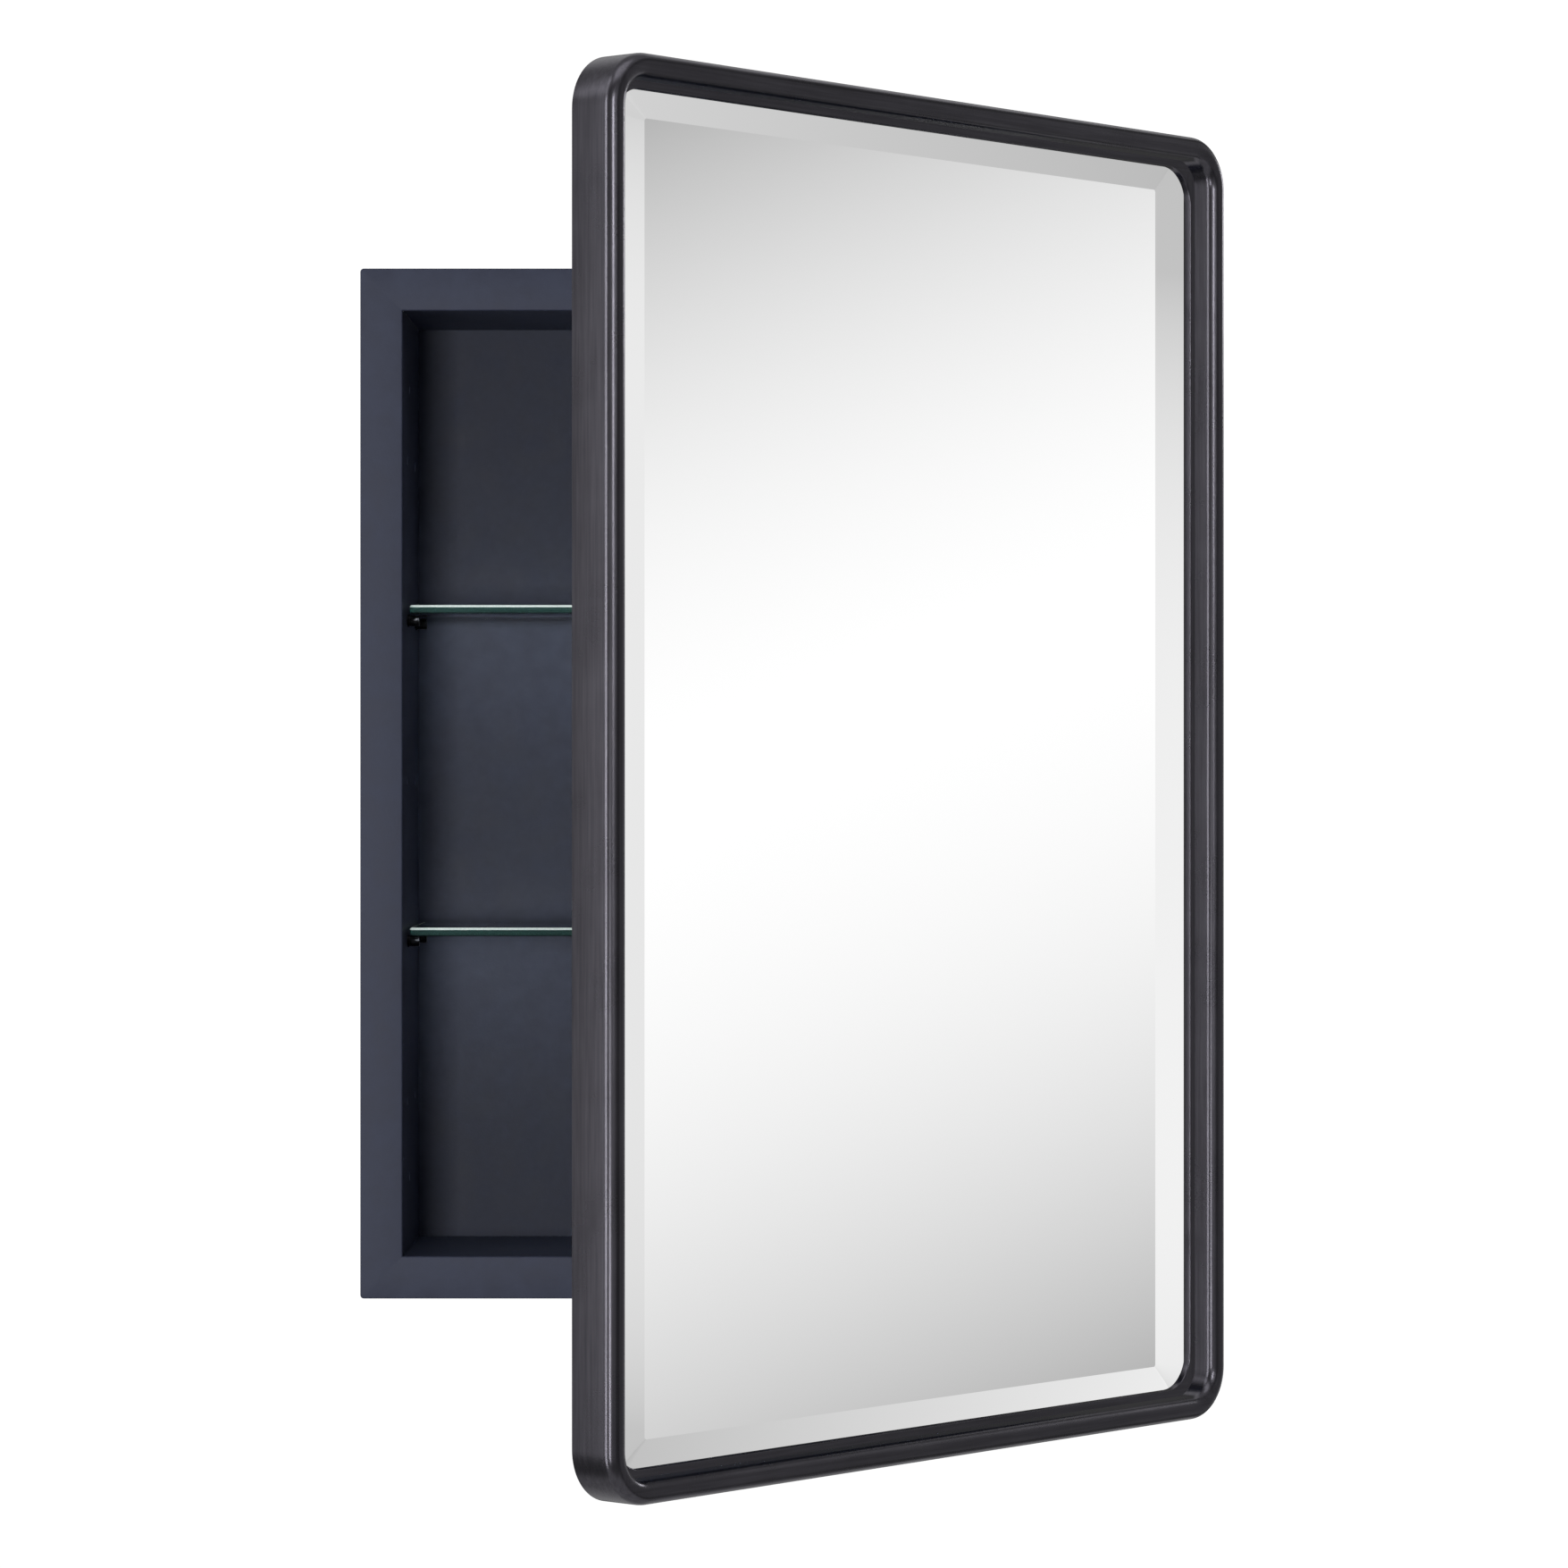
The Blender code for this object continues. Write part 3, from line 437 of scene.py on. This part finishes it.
beadSpec = {"cornerRadius": 28 * mm, "cornerSteps": 20, "radius": 6 * mm, "beadSteps": 20,
            "backEdge": 0.6 * mm, "smooth": 40}
stepSpec = {"inset": 16 * mm, "height": 14 * mm, "lip": 4.2 * mm, "cornerRadius": 20 * mm,
            "edgeRound": 0.9 * mm, "edgeSteps": 6, "wall": 0.2 * mm, "steps": 20}


def sweepTree():  # sweeps the outline it is given round a rounded rectangle
    tree, start = newTree("sweepRoundFrame", {"Width": "Float", "Height": "Float", "Corner Radius": "Float",
                                              "Corner Steps": "Int", "Material": "Material"})
    path = addNode(tree, "GeometryNodeCurvePrimitiveQuadrilateral",
                   {"Width": (start, "Width"), "Height": (start, "Height")}, mode="RECTANGLE")
    fillet = addNode(tree, "GeometryNodeFilletCurve",
                     {"Curve": path, "Radius": (start, "Corner Radius"), "Count": (start, "Corner Steps")},
                     mode="POLY")
    level = addNode(tree, "GeometryNodeSetCurveNormal", {"Curve": fillet}, mode="Z_UP")
    outline = addNode(tree, "GeometryNodeMeshToCurve", {"Mesh": (start, "Geometry")})
    swept = addNode(tree, "GeometryNodeCurveToMesh", {"Curve": level, "Profile Curve": outline})
    upright = addNode(tree, "GeometryNodeTransform", {"Geometry": swept, "Rotation": (math.pi / 2, 0, 0)})
    endTree(tree, start, upright)
    return tree


def makeBead():
    radius = beadSpec["radius"]
    back = beadSpec["backEdge"]
    outline = [(back, 0.0), (0.0, back)]
    outline += arcPoints((radius, doorSize.y - radius), radius, 180, 0, beadSpec["beadSteps"])
    outline += [(2 * radius, back), (2 * radius - back, 0.0)]
    edges = [(i, (i + 1) % len(outline)) for i in range(len(outline))]
    values = {"Width": doorSize.x, "Height": doorSize.z, "Corner Radius": beadSpec["cornerRadius"],
              "Corner Steps": beadSpec["cornerSteps"], "Material": bronze}
    points = [(-inset, -height, 0) for inset, height in outline]
    piece = growPiece("frameBead", points, edges, sweepTree(), values)
    finishPiece(piece, "door", ("door_frame",), doorPlace, beadSpec["smooth"])


def makeStep():
    crease = 2 * beadSpec["radius"]
    inset = stepSpec["inset"]
    top = stepSpec["height"]
    edge = stepSpec["edgeRound"]
    wall = stepSpec["wall"]
    under = top - stepSpec["lip"]
    outer = beadSpec["cornerRadius"] - crease
    inner = stepSpec["cornerRadius"]
    section = [(crease, 0.0, outer), (crease, top, outer)]
    turned = arcPoints((inset - edge, top - edge), edge, 90, 0, stepSpec["edgeSteps"])
    section += [(s, h, inner) for s, h in turned]
    section += [(inset, under, inner), (crease + wall, under, outer - wall),
                (crease + wall, 0.0, outer - wall)]
    bm = bmesh.new()
    loops = []
    for s, h, radius in section:
        loops.append(roundedLoop(bm, doorSize.x - 2 * s, doorSize.z - 2 * s, radius, -h, stepSpec["steps"]))
    skin(bm, loops, closed=True)
    piece = closedItem("frameStep", bm, bronze)
    finishPiece(piece, "door", ("door_frame",), doorPlace, beadSpec["smooth"])


makeBead()
makeStep()
print("door frame done")


# mirror: bevelled and silvered, the bevel so shallow that it shows the soft box's rim
mirrorSpec = {"bevelDrop": 1.3 * mm, "cornerRadius": 16 * mm, "bevelSide": 43 * mm, "bevelEnd": 29.5 * mm,
              "bevelCorner": 1.5 * mm, "steps": 24, "smooth": 2}
gasketSpec = {"width": 3 * mm, "behind": 0.6 * mm, "steps": 16}


def makeMirror():
    low, high = localBox("mirror_glass")
    size = high - low
    back = doorHigh.y - high.y
    front = doorHigh.y - low.y
    radius = mirrorSpec["cornerRadius"]
    steps = mirrorSpec["steps"]
    flatWidth = doorSize.x - 2 * mirrorSpec["bevelSide"]
    flatHeight = doorSize.z - 2 * mirrorSpec["bevelEnd"]
    bm = bmesh.new()
    loops = [roundedLoop(bm, size.x, size.z, radius, -back, steps),
             roundedLoop(bm, size.x, size.z, radius, mirrorSpec["bevelDrop"] - front, steps),
             roundedLoop(bm, flatWidth, flatHeight, mirrorSpec["bevelCorner"], -front, steps)]
    skin(bm, loops)
    bm.faces.new(loops[0][::-1])
    bm.faces.new(loops[-1])
    pane = closedItem("mirrorPane", bm, mirrorFace)
    finishPiece(pane, "door", ("mirror_glass",), doorPlace, mirrorSpec["smooth"])


def makeGasket():  # black foam that fills the joint between the mirror and the step
    low, high = localBox("mirror_gasket")
    front = doorHigh.y - low.y
    back = doorHigh.y - localBox("mirror_glass")[0].y - mirrorSpec["bevelDrop"] + gasketSpec["behind"]
    bm = bmesh.new()
    loops = []
    for inset, depth in ((0, back), (0, front), (gasketSpec["width"], front), (gasketSpec["width"], back)):
        loops.append(roundedLoop(bm, high.x - low.x - 2 * inset, high.z - low.z - 2 * inset,
                                 mirrorSpec["cornerRadius"], -depth, gasketSpec["steps"]))
    skin(bm, loops, closed=True)
    finishPiece(closedItem("mirrorGasket", bm, rubber), "door", ("mirror_gasket",), doorPlace)


makeMirror()
makeGasket()
coatNodes(("door_backing",), hardboard)
coatNodes(("magnet_upper", "magnet_lower"), ferrite)
coatNodes(("magnet_cup_upper", "magnet_cup_lower"), zinc)
print("mirror and backing done")


# screws, and the finish of the other small parts

screwSpec = {"sides": 32, "shank": 1.5 * mm, "overlap": 0.1 * mm, "head": 2.9 * mm, "sunkHeight": 0.9 * mm,
             "panHeight": 1.0 * mm, "panTop": 0.72, "recessWidth": 0.75 * mm, "recessDepth": 0.8 * mm,
             "recessSpan": 1.15, "seed": 7, "smooth": 30}


def screwTree():  # a cross-recess screw on every point, heads facing along Aim
    sizes = ("Head Low Radius", "Head Top Radius", "Head Low", "Head Height", "Shank Radius", "Shank Length",
             "Recess Width", "Recess Depth", "Recess Span")
    inputs = {"Aim": "Vector", **{size: "Float" for size in sizes}, "Sides": "Int", "Seed": "Int",
              "Material": "Material"}
    tree, start = newTree("screwsOnPoints", inputs)
    head = addNode(tree, "GeometryNodeMeshCone", {
        "Vertices": (start, "Sides"), "Radius Top": (start, "Head Top Radius"),
        "Radius Bottom": (start, "Head Low Radius"), "Depth": (start, "Head Height")})
    lift = addNode(tree, "ShaderNodeCombineXYZ", {"Z": (start, "Head Low")})
    headUp = addNode(tree, "GeometryNodeTransform", {"Geometry": head, "Translation": lift})
    shank = addNode(tree, "GeometryNodeMeshCylinder", {
        "Vertices": (start, "Sides"), "Radius": (start, "Shank Radius"), "Depth": (start, "Shank Length")})
    into = addNode(tree, "ShaderNodeMath", {0: (start, "Head Low"), 1: screwSpec["overlap"]}, operation="ADD")
    shankMiddle = addNode(tree, "ShaderNodeMath", {0: (start, "Shank Length"), 1: -0.5, 2: into},
                          operation="MULTIPLY_ADD")
    drop = addNode(tree, "ShaderNodeCombineXYZ", {"Z": shankMiddle})
    shankDown = addNode(tree, "GeometryNodeTransform", {"Geometry": shank, "Translation": drop})
    body = addNode(tree, "GeometryNodeMeshBoolean", operation="UNION", solver="EXACT")
    setInputs(tree, body, {"Mesh 2": headUp})
    setInputs(tree, body, {"Mesh 2": shankDown})
    twoDeep = addNode(tree, "ShaderNodeMath", {0: (start, "Recess Depth"), 1: 2.0}, operation="MULTIPLY")
    wide = addNode(tree, "ShaderNodeCombineXYZ", {
        "X": (start, "Recess Span"), "Y": (start, "Recess Width"), "Z": twoDeep})
    slot = addNode(tree, "GeometryNodeMeshCube", {"Size": wide})
    topHeight = addNode(tree, "ShaderNodeMath", {0: (start, "Head Low"), 1: (start, "Head Height")},
                        operation="ADD")
    top = addNode(tree, "ShaderNodeCombineXYZ", {"Z": topHeight})
    cross = addNode(tree, "GeometryNodeMeshBoolean", operation="UNION", solver="EXACT")
    for turn in (0.0, math.pi / 2):
        arm = addNode(tree, "GeometryNodeTransform",
                      {"Geometry": slot, "Translation": top, "Rotation": (0, 0, turn)})
        setInputs(tree, cross, {"Mesh 2": arm})
    cut = addNode(tree, "GeometryNodeMeshBoolean", {"Mesh 1": body, "Mesh 2": cross},
                  operation="DIFFERENCE", solver="EXACT")
    spin = addNode(tree, "FunctionNodeRandomValue", {2: 0.0, 3: math.pi / 2, "Seed": (start, "Seed")},
                   data_type="FLOAT")
    facing = addNode(tree, "FunctionNodeAlignRotationToVector", {"Vector": (start, "Aim")}, axis="Z")
    ownTurn = addNode(tree, "FunctionNodeAxisAngleToRotation", {"Axis": (0, 0, 1), "Angle": (spin, 1)})
    turned = addNode(tree, "FunctionNodeRotateRotation", {"Rotation": facing, "Rotate By": ownTurn},
                     rotation_space="LOCAL")
    placed = addNode(tree, "GeometryNodeInstanceOnPoints",
                     {"Points": (start, "Geometry"), "Instance": cut, "Rotation": turned})
    endTree(tree, start, placed)
    return tree


def makeScrews(tree, name, nodes, aim, body, sunk):  # aim points out of the head
    places = []
    for node in nodes:
        reach = [v.co.dot(aim) for v in frame["nodes"][node].data.vertices]
        middle = sum((Vector(corner) for corner in frame["nodes"][node].bound_box), Vector()) / 8
        places.append(middle + aim * (max(reach) - middle.dot(aim)))
        length = max(reach) - min(reach)
    head = screwSpec["head"]
    height = screwSpec["sunkHeight"] if sunk else screwSpec["panHeight"]
    values = {"Aim": aim, "Head Low Radius": screwSpec["shank"] if sunk else head,
              "Head Top Radius": head if sunk else head * screwSpec["panTop"], "Head Low": -height,
              "Head Height": height, "Shank Radius": screwSpec["shank"], "Shank Length": length - height,
              "Recess Width": screwSpec["recessWidth"], "Recess Depth": screwSpec["recessDepth"],
              "Recess Span": head * screwSpec["recessSpan"], "Sides": screwSpec["sides"],
              "Seed": screwSpec["seed"], "Material": zinc}
    piece = growPiece(name, places, [], tree, values)
    finishPiece(piece, body, nodes, None, screwSpec["smooth"])


screws = screwTree()
outOfTrim = Vector((0, -1, 0))
outOfDoor = Matrix.Rotation(restTurn, 3, "Z") @ Vector((0, 1, 0))
cabinetScrews = namesOf("hinge_upper_cabinet_screw", "hinge_lower_cabinet_screw")
doorScrews = namesOf("hinge_upper_door_screw", "hinge_lower_door_screw")
makeScrews(screws, "cabinetLeafScrews", cabinetScrews, outOfTrim, "cabinet", True)
makeScrews(screws, "doorLeafScrews", doorScrews, outOfDoor, "door", True)
makeScrews(screws, "clipScrews", namesOf("clip_screw"), outOfDoor, "door", False)
coatNodes([node for node in namesOf("hinge_") if node.endswith(("leaf", "pin"))], zinc)
coatNodes([node for node in namesOf("clip_") if "screw" not in node], zinc)
coatNodes(namesOf("bumper"), rubber)
coatNodes(namesOf("shelf_pin"), blackOxide)
print("small parts done")


# stage, light and camera

stageSpec = {"floorHeight": -1.2, "floorSize": 7.0, "floorColour": "f2f2f0", "worldLevel": 0.09,
             "backdrop": 1.05}
frameNames = ("frameBead", "frameStep")
shelfNames = ("shelfUpper", "shelfLower")
wallNames = ("back_panel", "left_wall", "right_wall", "top_wall", "bottom_wall")


def emissive(name, clear=False):  # a material that glows, and can let light through as well
    material = bpy.data.materials.new(name)
    material.use_nodes = True
    tree = material.node_tree
    tree.nodes.clear()
    glow = addNode(tree, "ShaderNodeEmission", {"Color": (1, 1, 1, 1)})
    surface = glow
    if clear:
        through = addNode(tree, "ShaderNodeBsdfTransparent")
        surface = addNode(tree, "ShaderNodeAddShader", {0: glow, 1: through})
    addNode(tree, "ShaderNodeOutputMaterial", {"Surface": surface})
    return material, tree, glow


def makePlane(name, width, height, place, material):
    bm = bmesh.new()
    bmesh.ops.create_grid(bm, x_segments=1, y_segments=1, size=0.5)
    bmesh.ops.scale(bm, vec=(width, height, 1), verts=bm.verts)
    bmesh.ops.transform(bm, matrix=place, verts=bm.verts)
    item = meshItem(name, bm, material)
    return item


def makeFloor():
    floorCoat, tree, shader = newMaterial("paleFloor")
    setInputs(tree, shader, {"Base Color": linear(stageSpec["floorColour"]), "Roughness": 0.9})
    floor = makePlane("floor", stageSpec["floorSize"], stageSpec["floorSize"],
                      Matrix.Translation((0, 0, stageSpec["floorHeight"])), floorCoat)
    floor.visible_glossy = False
    floor.visible_diffuse = False


def shineOn(light, names):  # the light reaches only these pieces
    group = bpy.data.collections.new(light.name + "Receivers")
    for name in names:
        group.objects.link(bpy.data.objects[name])
    light.light_linking.receiver_collection = group


cardSpec = {"distance": 1.5, "width": 2.0, "height": 2.4, "centreY": -0.1, "bright": 1.0, "power": 1.105,
            "least": 0.2, "bandHeight": 0.105, "bandSlope": 0.395, "upReach": 0.753, "upPower": 1.79,
            "downReach": 0.867, "downPower": 1.88}
# the card's rims, which only the bevels show: across, beyond, level, tilt, fall, its power, most, centre
rimSpec = (("Z", 0.55, 0.545, -0.31, 0.0, 1.0, 0.0, 0.0), ("Z", -0.55, 0.72, 0.70, 0.0, 1.0, 0.0, 0.0),
           ("Y", -0.36, 0.80, 0.08, 10.8, 6.0, 0.22, 0.01), ("Y", 0.19, 0.86, -0.06, 3.8, 4.0, 0.30, -0.12))


def makeMirrorCard():  # a soft box at the right, brightest along a slanting band, which the mirror shows
    material, tree, glow = emissive("mirrorCard")
    spot = addNode(tree, "ShaderNodeTexCoord")
    axes = addNode(tree, "ShaderNodeSeparateXYZ", {"Vector": (spot, "Object")})
    slant = addNode(tree, "ShaderNodeMath", operation="MULTIPLY_ADD", values={
        0: (axes, "Y"), 1: cardSpec["bandSlope"], 2: cardSpec["bandHeight"]})
    above = addNode(tree, "ShaderNodeMath", {0: (axes, "Z"), 1: slant}, operation="SUBTRACT")
    level = cardSpec["bright"]
    for reach, power in ((cardSpec["upReach"], cardSpec["upPower"]),
                         (-cardSpec["downReach"], cardSpec["downPower"])):
        loss = above
        for operation, number in (("DIVIDE", reach), ("MAXIMUM", 0.0), ("POWER", power)):
            loss = addNode(tree, "ShaderNodeMath", {0: loss, 1: number}, operation=operation)
        level = addNode(tree, "ShaderNodeMath", {0: level, 1: loss}, operation="SUBTRACT")
    level = addNode(tree, "ShaderNodeMath", {0: level, 1: cardSpec["least"]}, operation="MAXIMUM")
    for axis, limit, middle, tilt, fall, power, most, centre in rimSpec:
        along = (axes, "Y" if axis == "Z" else "Z")
        loss = along
        for operation, number in (("SUBTRACT", centre), ("ABSOLUTE", 0.0), ("POWER", power),
                                  ("MULTIPLY", fall), ("MINIMUM", most)):
            loss = addNode(tree, "ShaderNodeMath", {0: loss, 1: number}, operation=operation)
        lift = addNode(tree, "ShaderNodeMath", {0: along, 1: tilt, 2: middle}, operation="MULTIPLY_ADD")
        rim = addNode(tree, "ShaderNodeMath", {0: lift, 1: loss}, operation="SUBTRACT")
        beyond = addNode(tree, "ShaderNodeMath", {0: (axes, axis), 1: limit},
                         operation="GREATER_THAN" if limit > 0 else "LESS_THAN")
        level = addNode(tree, "ShaderNodeMix", {0: beyond, 2: level, 3: rim}, data_type="FLOAT")
    strength = addNode(tree, "ShaderNodeMath", {0: level, 1: cardSpec["power"]}, operation="MULTIPLY")
    setInputs(tree, glow, {"Strength": strength})
    place = Matrix.Translation((cardSpec["distance"], cardSpec["centreY"], 0))
    turn = Matrix.Rotation(-math.pi / 2, 4, "Y")
    card = makePlane("rightCard", cardSpec["height"], cardSpec["width"], place @ turn, material)
    card.visible_camera = False
    meshes = [item.name for item in bpy.data.objects if item.type == "MESH"]
    shineOn(card, [name for name in meshes if name not in frameNames])


def hideFromReflections():  # the mirror doesn't show the frame, nor the frame what it holds
    held = ("mirrorPane", "mirrorGasket", "door_backing", "doorLeafScrews", "clipScrews", "cabinetLeafScrews")
    for name in frameNames + held + tuple(namesOf("magnet_", "clip_", "hinge_")):
        bpy.data.objects[name].visible_glossy = False


roomSpec = {"radius": 6.0, "patch": 4.0, "dim": 0.35, "bright": 1.1}


def makeRoom():  # a pale, cloudy room that only the mirror shows, when it is seen from elsewhere
    material, tree, glow = emissive("paleRoom", True)
    place = (addNode(tree, "ShaderNodeTexCoord"), "Object")
    soft = addNode(tree, "ShaderNodeTexNoise",
                   {"Vector": place, "Scale": 1 / roomSpec["patch"], "Detail": 0.0})
    strength = addNode(tree, "ShaderNodeMapRange",
                       {"Value": soft, "To Min": roomSpec["dim"], "To Max": roomSpec["bright"]})
    setInputs(tree, glow, {"Strength": strength})
    bm = bmesh.new()
    bmesh.ops.create_icosphere(bm, subdivisions=2, radius=roomSpec["radius"])
    room = meshItem("paleRoom", bm, material)
    room.visible_camera = False
    room.visible_shadow = False
    shineOn(room, ("mirrorPane",))


# every lamp's place, size and power, and what it lights
lampSpec = {
    "leftBox": ((-2.4, -1.3, 0.2), (1.4, 2.4), 2.8, "all"),
    "leftStrip": ((-2.18, -1.68, -0.2), (0.42, 2.8), 19.0, "frame"),
    "frontStrip": ((0.42, -3.5, 0.85), (0.5, 1.1), 17.0, "frame"),
    "lowStrip": ((-1.2, -3.3, -0.85), (0.4, 0.9), 12.0, "frame"),
    "rightStrip": ((1.65, -3.0, 0.85), (0.3, 1.1), 2.0, "frame"),
    "cornerSpot": ((1.55, 1.1, 0.55), (0.35, 0.35), 3.0, "frame"),
    "rimTop": ((0.0, 1.6, 2.0), (3.0, 1.5), 8.0, "frame"),
    "rimLow": ((0.0, 1.6, -2.0), (3.0, 1.5), 6.0, "frame"),
    "rimRight": ((2.2, 1.6, 0.0), (1.5, 2.5), 5.0, "frame"),
    "edgeStrip": ((-0.3, -1.3, -1.9), (1.6, 0.3), 40.0, "trim"),
    "rightGlow": ((1.42, -0.1, 0.0), (2.0, 2.4), 3.2, "frame"),
    "cabinetFill": ((-0.55, -3.7, -0.05), (0.6, 0.7), 21.0, "inside"),
    "shelfGlint": ((-0.2, -2.4, 1.8), (1.0, 0.5), 70.0, "shelves"),
    "leftSoft": ((-2.2, -2.2, -0.1), (1.0, 1.4), 19.0, "cabinet"),
    "cornerSoft": ((-1.8, -0.9, 1.7), (1.1, 1.1), 4.5, "frame"),
    "underGlow": ((0.0, -0.6, -2.0), (4.0, 3.0), 11.0, "frame"),
    "overGlow": ((0.0, -0.6, 2.2), (4.0, 3.0), 9.0, "frame"),
    "frontGlow": ((0.0, -4.6, 0.0), (5.0, 4.0), 8.0, "frame"),
    "backFill": ((0.4, 3.2, 1.0), (2.5, 2.5), 75.0, "behind"),
    "floorWash": ((0.0, 0.0, 4.0), (8.0, 8.0), 420.0, "floor"),
    "topBox": ((0.2, -1.1, 2.0), (1.6, 1.2), 5.0, "all"),
}
lampAim = Vector((0, -0.2, 0))


def makeLights():
    everything = [item.name for item in bpy.data.objects if item.type == "MESH" and not item.hide_render]
    cabinet = [name for name in everything if name.startswith(("faceTrim", "shelf") + wallNames)]
    receivers = {"frame": frameNames, "shelves": shelfNames, "trim": ("faceTrim",), "floor": ("floor",),
                 "cabinet": cabinet,
                 "inside": [name for name in cabinet if name not in shelfNames + ("left_wall",)],
                 "behind": [name for name in everything if name not in frameNames + ("mirrorPane", "floor")]}
    for name, (place, size, power, lit) in lampSpec.items():
        lamp = bpy.data.lights.new(name, "AREA")
        lamp.shape = "RECTANGLE"
        lamp.size = size[0]
        lamp.size_y = size[1]
        lamp.energy = power
        item = bpy.data.objects.new(name, lamp)
        item.location = place
        item.rotation_euler = (lampAim - Vector(place)).to_track_quat("-Z", "Y").to_euler()
        bpy.context.scene.collection.objects.link(item)
        if lit != "all":
            shineOn(item, receivers[lit])


def makeWorld():  # white behind the object, dimmer where the finishes reflect it
    world = bpy.data.worlds.new("studio")
    bpy.context.scene.world = world
    world.use_nodes = True
    tree = world.node_tree
    tree.nodes.clear()
    seen = addNode(tree, "ShaderNodeLightPath")
    strength = addNode(tree, "ShaderNodeMix", {0: (seen, "Is Camera Ray"), 2: stageSpec["worldLevel"],
                                               3: stageSpec["backdrop"]}, data_type="FLOAT")
    back = addNode(tree, "ShaderNodeBackground", {"Color": (1, 1, 1, 1), "Strength": strength})
    addNode(tree, "ShaderNodeOutputWorld", {"Surface": back})


cameraSpec = {"place": (0.0282, -3.093, 0.006), "lens": 121.1, "sensor": 36.0, "shiftUp": -0.0071}


def makeCamera():
    data = bpy.data.cameras.new("camera")
    data.lens = cameraSpec["lens"]
    data.sensor_width = cameraSpec["sensor"]
    data.shift_y = cameraSpec["shiftUp"]
    camera = bpy.data.objects.new("camera", data)
    camera.location = cameraSpec["place"]
    camera.rotation_euler = (math.pi / 2, 0, 0)
    bpy.context.scene.collection.objects.link(camera)
    bpy.context.scene.camera = camera


makeFloor()
makeMirrorCard()
hideFromReflections()
makeRoom()
makeLights()
makeWorld()
makeCamera()
bpy.context.scene.view_settings.view_transform = "Standard"
print("stage, light and camera set")
